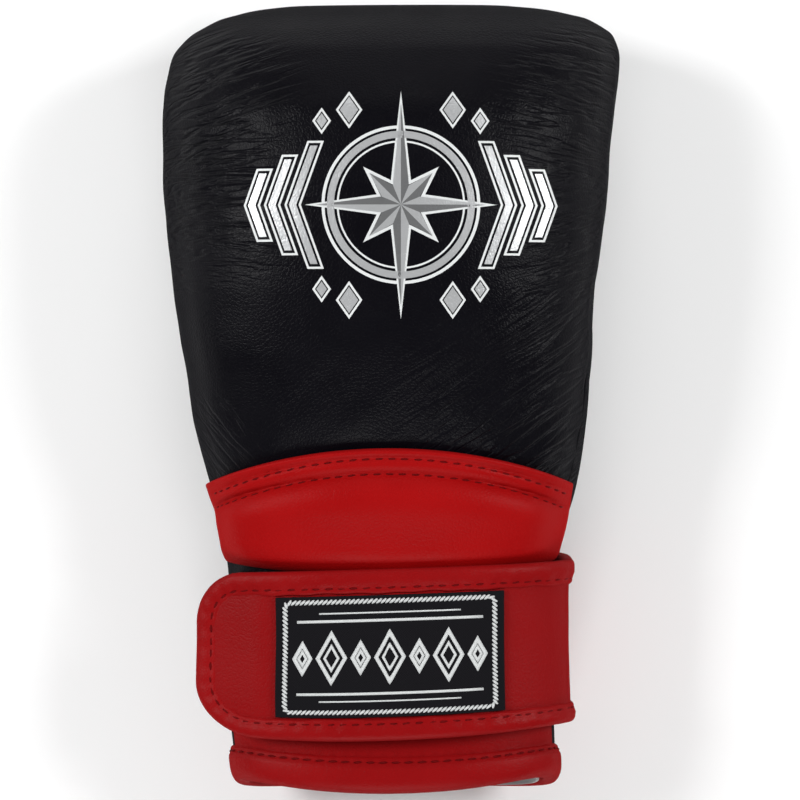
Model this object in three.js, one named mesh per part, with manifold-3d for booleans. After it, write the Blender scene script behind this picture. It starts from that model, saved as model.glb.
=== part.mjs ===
// An open-thumb bag glove of padded leather, lying palm down as it rests by itself.
// The fingers point along +Y, the thumb side is +X, the back of the hand faces +Z and z = 0 is the table.
// A thick pad covers the back of the hand and curls under the fingertips to a lip that rests on the table.
// A thin palm wall with a thumb hole closes the underside, and a cuff with a wrapped strap holds the wrist.
import * as THREE from "three";
import { mergeVertices } from "three/addons/utils/BufferGeometryUtils.js";
import Module from "manifold-3d";

const wasm = await Module();
wasm.setup();

// Overall sizes, in millimetres
const LENGTH = 270;
const FINGER_WIDTH = 155.6;
const WRIST_WIDTH = 109;
const DEPTH = 91; // table to the top of the padding over the fingers
const WRIST_DEPTH = 57; // palm side of the cuff to its back

// Walls and padding
const LEATHER = 2.8; // wall of the palm and of the cuff
const PAD_THICKNESS = 32; // over the back of the fingers
const SIDE_THICKNESS = 14; // of the same pad down the two sides
const TIP_THICKNESS = 26; // in front of the fingertips
const LIP_THICKNESS = 17; // of the curled pad under the fingertips
const LIP_LENGTH = 43; // from the fingertip end back to the seam with the palm
const PALM_ARCH = 13; // height of the palm's hollow above the table
const GAP = 0.3; // between pieces that touch
const CUT_PAST = 5; // how far a cut runs past the edge that it opens

// Fingertip end: how far back each corner and roll reaches
const LEFT_CORNER = 36;
const RIGHT_CORNER = 18;
const CORNER_REACH = 0.745; // share of the half width that the corners take away at the very end
const BACK_ROLL = 54;
const PALM_ROLL = 31;
const CORNER_POWER = 2.5;

// Side seams, which lie higher on the thumb side
const SEAM_ROLL = 0.16; // rise of the seam for each millimetre across

// Wrist mouth, where the back of the cuff is shorter than the palm and bowed
const MOUTH_SET_BACK = 3;
const MOUTH_BOW = 5.5;
const MOUTH_SKEW = 0.5;
const MOUTH_FADE = 60; // distance over which the bow dies away

// Red panel over the base of the hand
const WRIST_PAD_HEIGHT = 38.5;
const WRIST_PAD_THICKNESS = 9.5;
const WRIST_PAD_OVERLAP = 6; // of its stitched border over the back pad
const WRIST_PAD_ARC = 150; // radius of its upper edge, seen from above
const WRIST_PAD_LOWER_ARC = 420;
const WRIST_PAD_CLEARANCE = 1.8; // to the strap below it

// Lower cuff panel, loop tape, binding and lining at the mouth
const CUFF_PANEL_THICKNESS = 3;
const CUFF_PANEL_FROM_EDGE = 2.5;
const CUFF_PANEL_FROM = 32; // angle round the section
const CUFF_PANEL_TO = 151;
const CUFF_BINDING_HEIGHT = 14.5;
const BINDING_RISE_BEFORE = 18; // degrees before the panel's side where the binding starts to rise over it
const BINDING_RISE_OVER = 16; // degrees that the rise takes
const BINDING_THICKNESS = 1.3;
const LINING_THICKNESS = 1;
const LINING_LENGTH = 58;
const TAPE_THICKNESS = 1.4;
const TAPE_WIDTH = 34;
const LOOP_TAPE_FROM = 42; // angles round the section
const HOOK_TAPE_FROM = 88;
const TAPES_TO = 125;

// Wrist slit in the palm
const SLIT_WIDTH = 9;
const SLIT_LENGTH = 62;
const SLIT_ACROSS = 4;

// Strap and its label
const STRAP_WIDTH = 57;
const STRAP_FROM_MOUTH = 21.5;
const STRAP_THICKNESS = 3.2;
const STRAP_END_LOWER_RADIUS = 23; // of the free end's corner towards the mouth
const STRAP_END_UPPER_RADIUS = 16.5; // of its other corner, never more than the lower one
const STRAP_RISE = 0.034; // of the strap for each millimetre along it, towards the thumb side
const STRAP_BINDING_REACH = 8.3; // of the binding on the face of the strap
const STRAP_ROOT_ANGLE = -120; // on the palm, where the strap is sewn down
const STRAP_LEAVES_ANGLE = 127; // on the back, where the free end leaves the cuff
const STRAP_FREE_END = 23.7;
const LABEL_LENGTH = 74;
const LABEL_THICKNESS = 0.8;

// Thumb hole
const THUMB_HOLE_LENGTH = 50;
const THUMB_HOLE_WIDTH = 38;
const THUMB_HOLE_FROM_TIP = 121;
const THUMB_HOLE_ANGLE = -44; // round the section, below the thumb side
const THUMB_BINDING_REACH = 5;

// Fineness of the facets
const RING_POINTS = 32;
const HOLE_POINTS = 24;

// What lies between the cuff and the strap's core
const SIDE_STACK = BINDING_THICKNESS + 2 * GAP;
const BACK_STACK = CUFF_PANEL_THICKNESS + 2 * TAPE_THICKNESS + 4 * GAP;
const PALM_LIFT = SIDE_STACK + STRAP_THICKNESS + BINDING_THICKNESS + GAP;
const WRIST_TOP = PALM_LIFT + WRIST_DEPTH;
const TIP = LENGTH / 2;
const MOUTH = -LENGTH / 2;

// Sections of the mitt from the mouth to the fingertips.
// along: share of LENGTH. left, right: 0 at the wrist's width, 1 at the fingers'.
// rise: 0 at the wrist's top, 1 at the fingers'. waist, seam: widest level and side seam, as shares of the depth.
// lift, arch: shares of PALM_LIFT and PALM_ARCH that the palm lies above the table.
const SECTIONS = [
  { along: 0.0, left: -0.1, right: 0.1, rise: 0.0, waist: 0.5, seam: 0.55, lift: 1, arch: 0 },
  { along: 0.11, left: 0.02, right: 0.06, rise: 0.0, waist: 0.5, seam: 0.55, lift: 1, arch: 0 },
  { along: 0.22, left: 0.0, right: 0.03, rise: 0.01, waist: 0.5, seam: 0.55, lift: 1, arch: 0 },
  { along: 0.3, left: 0.06, right: 0.07, rise: 0.07, waist: 0.49, seam: 0.55, lift: 1, arch: 0.08 },
  { along: 0.385, left: 0.25, right: 0.37, rise: 0.34, waist: 0.48, seam: 0.53, lift: 0.6, arch: 0.4 },
  { along: 0.475, left: 0.49, right: 0.53, rise: 0.64, waist: 0.46, seam: 0.43, lift: 0.25, arch: 0.85 },
  { along: 0.555, left: 0.65, right: 0.61, rise: 0.84, waist: 0.44, seam: 0.35, lift: 0.05, arch: 1 },
  { along: 0.63, left: 0.78, right: 0.67, rise: 0.95, waist: 0.43, seam: 0.31, lift: 0, arch: 0.85 },
  { along: 0.7, left: 0.9, right: 0.76, rise: 1, waist: 0.42, seam: 0.28, lift: 0, arch: 0.5 },
  { along: 0.78, left: 0.99, right: 0.86, rise: 1, waist: 0.42, seam: 0.26, lift: 0, arch: 0.1 },
  { along: 0.855, left: 1, right: 0.94, rise: 0.98, waist: 0.42, seam: 0.26, lift: 0, arch: -0.02 },
  { along: 0.93, left: 1, right: 1, rise: 0.94, waist: 0.42, seam: 0.26, lift: 0, arch: -0.12 },
  { along: 1.0, left: 1, right: 1, rise: 0.88, waist: 0.42, seam: 0.26, lift: 0, arch: -0.12 },
];

// Thickness of the walls from the mouth to the fingertips: 0 is one layer of leather, 1 is the full padding.
const WALLS = [
  { along: 0.0, back: 0, side: 0, lip: 0 },
  { along: 0.28, back: 0, side: 0, lip: 0 },
  { along: 0.385, back: 0.16, side: 0.2, lip: 0 },
  { along: 0.475, back: 0.5, side: 0.5, lip: 0 },
  { along: 0.555, back: 0.84, side: 0.8, lip: 0 },
  { along: 0.63, back: 1, side: 1, lip: 0 },
  { along: 0.8, back: 1, side: 1, lip: 0 },
  { along: 0.85, back: 1, side: 1, lip: 1 },
  { along: 1.0, back: 1, side: 1, lip: 1 },
];

// Height of the red panel across its width, from its lower edge to its upper one, as shares of its thickness.
const WRIST_PAD_PROFILE = [
  { across: 0.0, height: 0.34 },
  { across: 0.05, height: 0.68 },
  { across: 0.15, height: 0.92 },
  { across: 0.4, height: 1.0 },
  { across: 0.62, height: 0.84 },
  { across: 0.74, height: 0.42 },
  { across: 0.82, height: 0.46 },
  { across: 0.88, height: 0.36 },
  { across: 0.96, height: 0.34 },
  { across: 1.0, height: 0.2 },
];

const mix = (a, b, t) => a + (b - a) * t;
const clamp01 = (t) => Math.min(1, Math.max(0, t));
const smooth01 = (t) => clamp01(t) ** 2 * (3 - 2 * clamp01(t));
const radians = THREE.MathUtils.degToRad;

// A smooth curve through one column of a table of rows.
function column(rows, key, at) {
  let i = 0;
  while (i < rows.length - 2 && at > rows[i + 1].along) i++;
  const slope = (j) => {
    const a = rows[Math.max(j - 1, 0)];
    const b = rows[Math.min(j + 1, rows.length - 1)];
    return (b[key] - a[key]) / (b.along - a.along);
  };
  const span = rows[i + 1].along - rows[i].along;
  const t = clamp01((at - rows[i].along) / span);
  const s = t * t * (3 - 2 * t);
  return (
    mix(rows[i][key], rows[i + 1][key], s) +
    span * (slope(i) * t * (1 - t) ** 2 - slope(i + 1) * t * t * (1 - t))
  );
}

// 0 at an end, 1 from `reach` inwards, along a superellipse.
function rounded(inwards, reach, power) {
  return (1 - (1 - clamp01(inwards / reach)) ** power) ** (1 / power);
}

// The mitt's outline at y before its fingertip end is rounded.
function plainSection(y) {
  const along = (y - MOUTH) / LENGTH;
  const at = (key) => column(SECTIONS, key, along);
  const bottom = at("lift") * PALM_LIFT + at("arch") * PALM_ARCH;
  const top = mix(WRIST_TOP, DEPTH, at("rise"));
  return {
    left: mix(WRIST_WIDTH, FINGER_WIDTH, at("left")) / 2,
    right: mix(WRIST_WIDTH, FINGER_WIDTH, at("right")) / 2,
    top,
    bottom,
    waist: mix(bottom, top, at("waist")),
    seam: mix(bottom, top, at("seam")),
  };
}

function roundedEnd(section, fromTip, shrink) {
  const corner = (reach) => 1 - CORNER_REACH * (1 - rounded(fromTip, reach * shrink, CORNER_POWER));
  return {
    ...section,
    left: section.left * corner(LEFT_CORNER),
    right: section.right * corner(RIGHT_CORNER),
    top: mix(section.waist, section.top, rounded(fromTip, BACK_ROLL * shrink, 2)),
    bottom: mix(section.waist, section.bottom, rounded(fromTip, PALM_ROLL * shrink, 2)),
  };
}

const bodySection = (y) => roundedEnd(plainSection(y), TIP - y, 1);

// The space for the hand inside the padding.
function handSection(y) {
  const along = (y - MOUTH) / LENGTH;
  const wall = (key, full) => mix(LEATHER, full, column(WALLS, key, along));
  const outer = plainSection(y);
  const top = outer.top - wall("back", PAD_THICKNESS);
  const bottom = outer.bottom + wall("lip", LIP_THICKNESS);
  const inner = {
    left: outer.left - wall("side", SIDE_THICKNESS),
    right: outer.right - wall("side", SIDE_THICKNESS),
    top,
    bottom,
    waist: Math.min(outer.waist, mix(bottom, top, 0.5)),
  };
  return roundedEnd(inner, TIP - TIP_THICKNESS - y, 0.6);
}

// A point on a section at an angle round it, pushed out by `out`: 0 degrees is the thumb side, 90 the back.
function around(section, degrees, out) {
  const c = Math.cos(radians(degrees));
  const s = Math.sin(radians(degrees));
  const power = s > 0 ? 2 / 2.5 : 2 / 3;
  const half = (c > 0 ? section.right : section.left) + out;
  const high = s > 0 ? section.top - section.waist + out : section.waist - section.bottom + out;
  return [
    half * Math.sign(c) * Math.abs(c) ** power,
    section.waist + high * Math.sign(s) * Math.abs(s) ** power,
  ];
}

// Moves the back of the cuff's mouth towards the fingers, most at its two sides.
function bowMouth(point) {
  const [x, y, z] = point;
  const fade = clamp01(1 - (y - MOUTH) / MOUTH_FADE) ** 2;
  const share = (2 * x) / WRIST_WIDTH;
  const back = smooth01((z - PALM_LIFT) / WRIST_DEPTH);
  point[1] = y + fade * back * (MOUTH_SET_BACK + MOUTH_BOW * share * share + MOUTH_SKEW * share);
}

// One closed solid through rings of points, each ring with as many points, its two ends closed by flat fans.
function loft(rings) {
  const count = rings[0].length;
  const middle = (ring) => [0, 1, 2].map((k) => ring.reduce((sum, p) => sum + p[k], 0) / count);
  const points = [...rings.flat(), middle(rings[0]), middle(rings.at(-1))];
  const first = rings.length * count;
  const last = (rings.length - 1) * count;
  const faces = [];
  for (let j = 0; j < count; j++) {
    const k = (j + 1) % count;
    for (let i = 0; i < last; i += count) {
      faces.push(i + j, i + k, i + count + k, i + j, i + count + k, i + count + j);
    }
    faces.push(first, k, j, first + 1, last + j, last + k);
  }
  const made = solid(points.flat(), faces);
  return made.volume() > 0 ? made : solid(points.flat(), faces.reverse());
}

function solid(coordinates, faces) {
  return new wasm.Manifold(
    new wasm.Mesh({
      numProp: 3,
      vertProperties: new Float32Array(coordinates),
      triVerts: new Uint32Array(faces),
    }),
  );
}

// A solid from closed geometry, for joining and cutting.
function fromGeometry(geometry) {
  geometry.deleteAttribute("normal");
  geometry.deleteAttribute("uv");
  const merged = mergeVertices(geometry);
  return solid(merged.attributes.position.array, merged.index.array);
}

// The angles round a section where its facets meet, which every piece that wraps it shares
const RING_ANGLES = Array.from({ length: RING_POINTS }, (_, j) => ((j + 0.5) * 360) / RING_POINTS);

function anglesBetween(from, to) {
  const turns = [...RING_ANGLES.map((angle) => angle - 360), ...RING_ANGLES];
  return [from, ...turns.filter((angle) => angle > from + 1.5 && angle < to - 1.5), to];
}

// The mitt's outline as a solid, pushed out by `out`, which is a number or a function of the angle.
function outline(section, stations, out) {
  const reach = typeof out === "function" ? out : () => out;
  return loft(
    stations.map((y) =>
      RING_ANGLES.map((angle) => {
        const [x, z] = around(section(y), angle, reach(angle));
        return [x, y, z];
      }),
    ),
  );
}

// Places along the mitt where its facets meet, with the last ones close together at the rounded tip.
const TIP_STEPS = [28, 18, 11, 5.5, 2, 0.4]; // distances from the tip
const CUFF_STATIONS = [0, 0.09, 0.2, 0.3].map((along) => MOUTH + along * LENGTH);
const MITT_STATIONS = SECTIONS.map((row) => MOUTH + row.along * LENGTH).filter(
  (y) => y > CUFF_STATIONS.at(-1) + 1 && y < TIP - TIP_STEPS[0] - 6,
);
const BODY_STATIONS = [...CUFF_STATIONS, ...MITT_STATIONS, ...TIP_STEPS.map((step) => TIP - step)];

// The section at y of the faceted mitt, on which the other pieces lie
function facetedSection(y) {
  const next = Math.max(1, BODY_STATIONS.findIndex((station) => station >= y));
  const [from, to] = [BODY_STATIONS[next - 1], BODY_STATIONS[next]];
  const [a, b] = [bodySection(from), bodySection(to)];
  const share = (y - from) / (to - from);
  return Object.fromEntries(Object.keys(a).map((key) => [key, mix(a[key], b[key], share)]));
}

// The strap's route round the cuff
const strapMiddle = MOUTH + STRAP_FROM_MOUTH + STRAP_WIDTH / 2;
const STRAP_TOP = MOUTH + STRAP_FROM_MOUTH + STRAP_WIDTH;

// What lies under the strap thins out past the thumb side, where the panel and tapes end.
const stackUnder = (degrees) => mix(SIDE_STACK, BACK_STACK, smooth01((degrees - 4) / 27));

// A point of the strap at an angle, or past the free end's start, pushed out by `out` from its core's inner face.
function strapPoint(step, y, out) {
  const section = facetedSection(y);
  const [x, z] = around(section, step.angle, stackUnder(step.angle) + out);
  const [bx, bz] = around(section, step.angle - 1, stackUnder(step.angle - 1) + out);
  const length = Math.hypot(x - bx, z - bz);
  return [x + ((x - bx) / length) * step.past, y, z + ((z - bz) / length) * step.past];
}

// Steps along the strap up to its rounded end, each with its angle and its length from the root.
function strapSteps() {
  const angles = anglesBetween(STRAP_ROOT_ANGLE, STRAP_LEAVES_ANGLE);
  const steps = angles.map((angle) => ({ angle, past: 0 }));
  steps.push({ angle: STRAP_LEAVES_ANGLE, past: STRAP_FREE_END - STRAP_END_LOWER_RADIUS });
  let along = 0;
  let before = strapPoint(steps[0], strapMiddle, 0);
  for (const step of steps) {
    const here = strapPoint(step, strapMiddle, 0);
    along += Math.hypot(here[0] - before[0], here[2] - before[2]);
    step.along = along;
    before = here;
  }
  return steps;
}

const STRAP_STEPS = strapSteps();

// How far along its length the strap crosses the middle of the back, from which its slant is measured
const pastBack = STRAP_STEPS.findIndex((step) => step.angle > 90);
const STRAP_CROWN = (STRAP_STEPS[pastBack - 1].along + STRAP_STEPS[pastBack].along) / 2;

// The strap's rounded free end, narrowing by steps to its blunt tip, `inset` from its edges
function roundedSteps(inset) {
  const lowerRadius = STRAP_END_LOWER_RADIUS - inset;
  const upperRadius = STRAP_END_UPPER_RADIUS - inset;
  const start = STRAP_STEPS.at(-1);
  return [1, 2, 3, 4, 5, 6].map((i) => {
    const turn = (i / 6) * (Math.PI / 2);
    const past = lowerRadius * Math.sin(turn);
    const intoUpper = Math.max(0, past - lowerRadius + upperRadius);
    const lower = STRAP_WIDTH / 2 - STRAP_END_LOWER_RADIUS + lowerRadius * Math.cos(turn);
    const upper =
      STRAP_WIDTH / 2 - STRAP_END_UPPER_RADIUS + Math.sqrt(Math.max(0, upperRadius ** 2 - intoUpper ** 2));
    return { angle: start.angle, past: start.past + past, along: start.along + past, lower, upper };
  });
}

const wholeStrap = (inset) => [...STRAP_STEPS, ...roundedSteps(inset)];

const labelInset = STRAP_BINDING_REACH + GAP;

// A band along the strap: `inset` from its edges, from `low` to `high` out of its core's inner face.
// Its top bends where the label's edges lie, so that the label follows the strap at any size.
function strapBand(steps, inset, low, high, chamfer) {
  return loft(
    steps.map((step) => {
      const lower = step.lower ?? STRAP_WIDTH / 2 - inset;
      const upper = step.upper ?? STRAP_WIDTH / 2 - inset;
      const middle = strapMiddle + STRAP_RISE * (STRAP_CROWN - step.along);
      const bends = inset < labelInset - chamfer;
      const bend = (half) => Math.min(STRAP_WIDTH / 2 - labelInset, 0.75 * half);
      const profile = [
        [-lower + chamfer, low],
        [0, low],
        [upper - chamfer, low],
        [upper, low + chamfer],
        [upper, high - chamfer],
        [upper - chamfer, high],
        ...(bends ? [[bend(upper), high]] : []),
        [0, high],
        ...(bends ? [[-bend(lower), high]] : []),
        [-lower + chamfer, high],
        [-lower, high - chamfer],
        [-lower, low + chamfer],
      ];
      return profile.map(([side, out]) => strapPoint(step, middle + side, out));
    }),
  );
}

// A panel that lies on the back of the cuff: across it from one angle to another, and along y between two edges.
function backPanel({ from, to, lower, upper, profile, low, high }) {
  return loft(
    anglesBetween(from, to).map((angle) => {
      const u = (angle - from) / (to - from);
      const x = around(facetedSection((lower(0) + upper(0)) / 2), angle, 0)[0];
      const point = (across, out) => {
        const y = mix(lower(x), upper(x), across);
        const [px, pz] = around(facetedSection(y), angle, out);
        return [px, y, pz];
      };
      const outer = profile.map((row) => point(row.across, high(row.height, u)));
      const inner = profile.map((row) => point(row.across, low)).reverse();
      return [...outer, ...inner];
    }),
  );
}

// The rows of a flat panel, which bends with the facets of the mitt between its two edges
function flatProfile(lower, upper) {
  const bends = BODY_STATIONS.filter((y) => y > lower + 1 && y < upper - 1);
  return [lower, ...bends, upper].map((y) => ({ across: (y - lower) / (upper - lower), height: 1 }));
}

// The angle round the section where the side seam runs, on the thumb side or on the other.
function seamAngle(y, side) {
  const section = bodySection(y);
  const half = side > 0 ? section.right : section.left;
  const above = section.seam + SEAM_ROLL * side * half * 0.97 - section.waist;
  const [height, power] =
    above > 0 ? [section.top - section.waist, 2.5] : [section.waist - section.bottom, 3];
  const turn = THREE.MathUtils.radToDeg(Math.asin(clamp01(Math.abs(above) / height) ** (power / 2)));
  const raised = above > 0 ? turn : -turn;
  return side > 0 ? raised : 180 - raised;
}

// Everything below the side seams, back to the lip under the fingertips, lowered by `down`.
function belowSeams(down) {
  const reach = FINGER_WIDTH;
  const end = TIP - LIP_LENGTH - down;
  const stations = [MOUTH - 20, ...BODY_STATIONS.filter((y) => y > MOUTH + 1 && y < end - 1), end];
  return loft(
    stations.map((y) => {
      const level = bodySection(y).seam - down;
      return [
        [-reach, y, level - SEAM_ROLL * reach],
        [reach, y, level + SEAM_ROLL * reach],
        [reach, y, -DEPTH],
        [-reach, y, -DEPTH],
      ];
    }),
  );
}

// Everything on the wrist's side of an arc across the back, seen from above.
function beforeArc(middle, radius) {
  const reach = Math.min(FINGER_WIDTH, radius) * 0.95;
  const half = Math.asin(reach / radius);
  const shape = new THREE.Shape();
  shape.moveTo(-reach, MOUTH - LENGTH);
  shape.lineTo(reach, MOUTH - LENGTH);
  shape.absarc(0, middle - radius, radius, Math.PI / 2 - half, Math.PI / 2 + half, false);
  const depth = 3 * DEPTH;
  const geometry = new THREE.ExtrudeGeometry(shape, { depth, bevelEnabled: false, curveSegments: 16 });
  return fromGeometry(geometry.translate(0, 0, -DEPTH));
}

const arcAt = (middle, radius) => (x) => middle - (radius - Math.sqrt(radius * radius - x * x));

// Edges of the red panel and the joint hidden under its border
const wristPadLow = STRAP_TOP + WRIST_PAD_CLEARANCE;
const wristPadHigh = wristPadLow + WRIST_PAD_HEIGHT;
const joint = wristPadHigh - WRIST_PAD_OVERLAP;

// Everything between two values of y
function slab(from, to) {
  const box = new THREE.BoxGeometry(2 * FINGER_WIDTH, to - from, 4 * DEPTH);
  return fromGeometry(box.translate(0, (from + to) / 2, 0));
}

// Solids that several pieces are cut from
const body = outline(bodySection, BODY_STATIONS, 0);
const handTip = TIP - TIP_THICKNESS;
const handStations = [
  MOUTH - CUT_PAST,
  ...BODY_STATIONS.filter((y) => y < handTip - TIP_STEPS[1] - 4),
  ...TIP_STEPS.slice(1).map((step) => handTip - step),
];
const handSpace = outline(handSection, handStations, 0);
const wallInside = outline(bodySection, [MOUTH - CUT_PAST, ...BODY_STATIONS], -LEATHER);
const slit = fromGeometry(
  new THREE.BoxGeometry(SLIT_WIDTH, 2 * SLIT_LENGTH, WRIST_DEPTH).translate(SLIT_ACROSS, MOUTH, 0),
);

// The leather stops short of the mouth so that the binding can wrap round its edge.
const boundEdge = BINDING_THICKNESS + GAP;
const mouthTrim = slab(MOUTH - CUT_PAST, MOUTH + boundEdge);

// The padded back, curled under the fingertips and flattened where it rests on the table
function backPad() {
  const table = fromGeometry(
    new THREE.BoxGeometry(2 * FINGER_WIDTH, 2 * LENGTH, DEPTH).translate(0, 0, -DEPTH / 2),
  );
  return body
    .subtract(handSpace)
    .subtract(belowSeams(-GAP / 2))
    .subtract(beforeArc(joint + GAP / 2, WRIST_PAD_ARC))
    .subtract(table);
}

// The thin black wall under the hand, from the lip to the mouth, with the thumb hole and the wrist slit
function palmPanel() {
  return body
    .subtract(wallInside)
    .intersect(belowSeams(GAP / 2))
    .subtract(mouthTrim)
    .subtract(slit)
    .subtract(thumbHole(0));
}

// The thin black back of the cuff, which carries the red panels
function cuffBase() {
  return body
    .subtract(handSpace)
    .subtract(belowSeams(-GAP / 2))
    .intersect(beforeArc(joint - GAP / 2, WRIST_PAD_ARC))
    .subtract(mouthTrim);
}

// An elliptic bore through the palm, grown by `out`.
function thumbHole(out) {
  const y = TIP - THUMB_HOLE_FROM_TIP;
  const [x, z] = around(bodySection(y), THUMB_HOLE_ANGLE, 0);
  const [x2, z2] = around(bodySection(y), THUMB_HOLE_ANGLE + 4, 0);
  const tilt = Math.atan2(z2 - z, x2 - x);
  const bore = new THREE.CylinderGeometry(1, 1, 3 * LEATHER + 14, HOLE_POINTS)
    .scale(THUMB_HOLE_WIDTH / 2 + out, 1, THUMB_HOLE_LENGTH / 2 + out)
    .rotateX(Math.PI / 2)
    .rotateY(-tilt)
    .translate(x, y, z);
  return fromGeometry(bore);
}

function thumbBinding() {
  const near = BODY_STATIONS.filter((y) => Math.abs(y - TIP + THUMB_HOLE_FROM_TIP) < LENGTH / 4);
  const shell = (out) =>
    outline(bodySection, near, out).subtract(outline(bodySection, near, -LEATHER - out));
  const ring = shell(GAP + BINDING_THICKNESS)
    .intersect(thumbHole(THUMB_BINDING_REACH))
    .subtract(thumbHole(-GAP - BINDING_THICKNESS));
  return ring.subtract(shell(GAP).subtract(thumbHole(-GAP)));
}

function wristPad() {
  const lower = (x) => 2 * wristPadLow - arcAt(wristPadLow, WRIST_PAD_LOWER_ARC)(x);
  const upper = arcAt(wristPadHigh, WRIST_PAD_ARC);
  const middle = (wristPadLow + wristPadHigh) / 2;
  const rolledSide = (u) => smooth01(Math.min(u, 1 - u) / 0.3);
  const panel = backPanel({
    from: seamAngle(middle, 1) + 1,
    to: 180,
    lower,
    upper,
    profile: WRIST_PAD_PROFILE,
    low: -LEATHER,
    high: (height, u) => GAP + WRIST_PAD_THICKNESS * Math.min(height, 0.15 + 0.85 * height * rolledSide(u)),
  });
  return panel.subtract(outline(bodySection, BODY_STATIONS, GAP)).subtract(belowSeams(-GAP / 2));
}

// The lower red panel, under the strap and the binding, grown by `out` where a neighbour clears it
function cuffPanel(out) {
  const lower = MOUTH + boundEdge + CUFF_PANEL_FROM_EDGE - out;
  const upper = STRAP_TOP - CUFF_PANEL_FROM_EDGE + out;
  return backPanel({
    from: CUFF_PANEL_FROM - out / 2,
    to: CUFF_PANEL_TO + out / 2,
    lower: () => lower,
    upper: () => upper,
    profile: flatProfile(lower, upper),
    low: -LEATHER,
    high: () => GAP + CUFF_PANEL_THICKNESS + out,
  });
}

const onCuff = (piece, out) =>
  piece.subtract(outline(bodySection, BODY_STATIONS, out)).subtract(belowSeams(-GAP / 2));

// A strip of tape on the back of the cuff, `out` above its leather
function tape(from, out) {
  const lower = strapMiddle - TAPE_WIDTH / 2;
  const upper = strapMiddle + TAPE_WIDTH / 2;
  return backPanel({
    from,
    to: TAPES_TO,
    lower: () => lower,
    upper: () => upper,
    profile: flatProfile(lower, upper),
    low: out,
    high: () => out + TAPE_THICKNESS,
  });
}

// Binding round the mouth, over the edges of the cuff's walls, its lower panel and its lining
function cuffBinding() {
  const end = MOUTH + CUFF_BINDING_HEIGHT;
  const inner = LEATHER + LINING_THICKNESS + 2 * GAP;
  const overPanel = GAP + CUFF_PANEL_THICKNESS + GAP + BINDING_THICKNESS;
  const outside = (angle) => {
    const turn = angle > 270 ? angle - 360 : angle;
    const risen = (inside) => smooth01((inside + BINDING_RISE_BEFORE) / BINDING_RISE_OVER);
    return mix(GAP + BINDING_THICKNESS, overPanel, risen(turn - CUFF_PANEL_FROM) * risen(CUFF_PANEL_TO - turn));
  };
  const through = [MOUTH - CUT_PAST, ...CUFF_STATIONS];
  const ring = outline(bodySection, CUFF_STATIONS, outside).intersect(slab(MOUTH - CUT_PAST, end));
  const hole = outline(bodySection, through, -inner - BINDING_THICKNESS);
  const walls = outline(bodySection, through, GAP)
    .subtract(outline(bodySection, through, -inner))
    .intersect(slab(MOUTH + BINDING_THICKNESS, end + CUT_PAST));
  return ring.subtract(hole).subtract(walls).subtract(cuffPanel(GAP)).subtract(slit);
}

function cuffLining() {
  const outer = outline(bodySection, CUFF_STATIONS, -LEATHER - GAP);
  const inner = outline(bodySection, [MOUTH - CUT_PAST, ...CUFF_STATIONS], -LEATHER - GAP - LINING_THICKNESS);
  const kept = slab(MOUTH + boundEdge, MOUTH + LINING_LENGTH);
  return outer.subtract(inner).intersect(kept).subtract(slit);
}

function strapCore() {
  const inset = BINDING_THICKNESS + GAP;
  return strapBand(wholeStrap(inset), inset, 0, STRAP_THICKNESS, 0.4);
}

// What is taken out of the binding along some of the strap: room for the core, and the bare faces between edges
function insideBinding(steps) {
  const far = 4 * BINDING_THICKNESS;
  const room = strapBand(steps(BINDING_THICKNESS), BINDING_THICKNESS, -GAP, STRAP_THICKNESS + GAP, 0);
  const reach = STRAP_BINDING_REACH;
  return room.add(strapBand(steps(reach), reach, -far, STRAP_THICKNESS + far, 0));
}

// A folded strip over the strap's two edges and round its free end, cut open where the strap is sewn to the palm
function strapBinding() {
  const shell = BINDING_THICKNESS + GAP;
  const whole = strapBand(wholeStrap(0), 0, -shell, STRAP_THICKNESS + shell, 1);
  const beforeRoot = { ...STRAP_STEPS[0], angle: STRAP_ROOT_ANGLE - 4 };
  const root = () => [beforeRoot, STRAP_STEPS[0], STRAP_STEPS[1]];
  return whole.subtract(insideBinding(wholeStrap)).subtract(insideBinding(root));
}

// The woven label between the bindings on the strap's face
function strapLabel() {
  const from = STRAP_CROWN - LABEL_LENGTH / 2;
  const stepAt = (along) => {
    const next = STRAP_STEPS.findIndex((step) => step.along > along);
    const [a, b] = [STRAP_STEPS[next - 1], STRAP_STEPS[next]];
    return { angle: mix(a.angle, b.angle, (along - a.along) / (b.along - a.along)), past: 0, along };
  };
  const inside = STRAP_STEPS.filter((step) => step.along > from + 2 && step.along < from + LABEL_LENGTH - 2);
  const low = STRAP_THICKNESS + GAP;
  const steps = [stepAt(from), ...inside, stepAt(from + LABEL_LENGTH)];
  return strapBand(steps, labelInset, low, low + LABEL_THICKNESS, 0.1);
}

// Finishes of the real glove
const blackLeather = new THREE.MeshStandardMaterial({ color: 0x141318, roughness: 0.45 });
const blackFabric = new THREE.MeshStandardMaterial({ color: 0x121114, roughness: 0.85 });
const redLeather = new THREE.MeshStandardMaterial({ color: 0xa50f14, roughness: 0.5 });
const redBindingLeather = new THREE.MeshStandardMaterial({ color: 0xb01418, roughness: 0.5 });
const wovenLabel = new THREE.MeshStandardMaterial({ color: 0x17181c, roughness: 0.9 });
const greyLining = new THREE.MeshStandardMaterial({ color: 0x9a9494, roughness: 0.9 });

const glove = new THREE.Group();

function addPiece(name, made, material) {
  const mesh = made.warp(bowMouth).getMesh();
  const geometry = new THREE.BufferGeometry();
  geometry.setAttribute("position", new THREE.BufferAttribute(mesh.vertProperties, 3));
  geometry.setIndex(new THREE.BufferAttribute(mesh.triVerts, 1));
  geometry.computeVertexNormals();
  const piece = new THREE.Mesh(geometry, material);
  piece.name = name;
  glove.add(piece);
}

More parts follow.
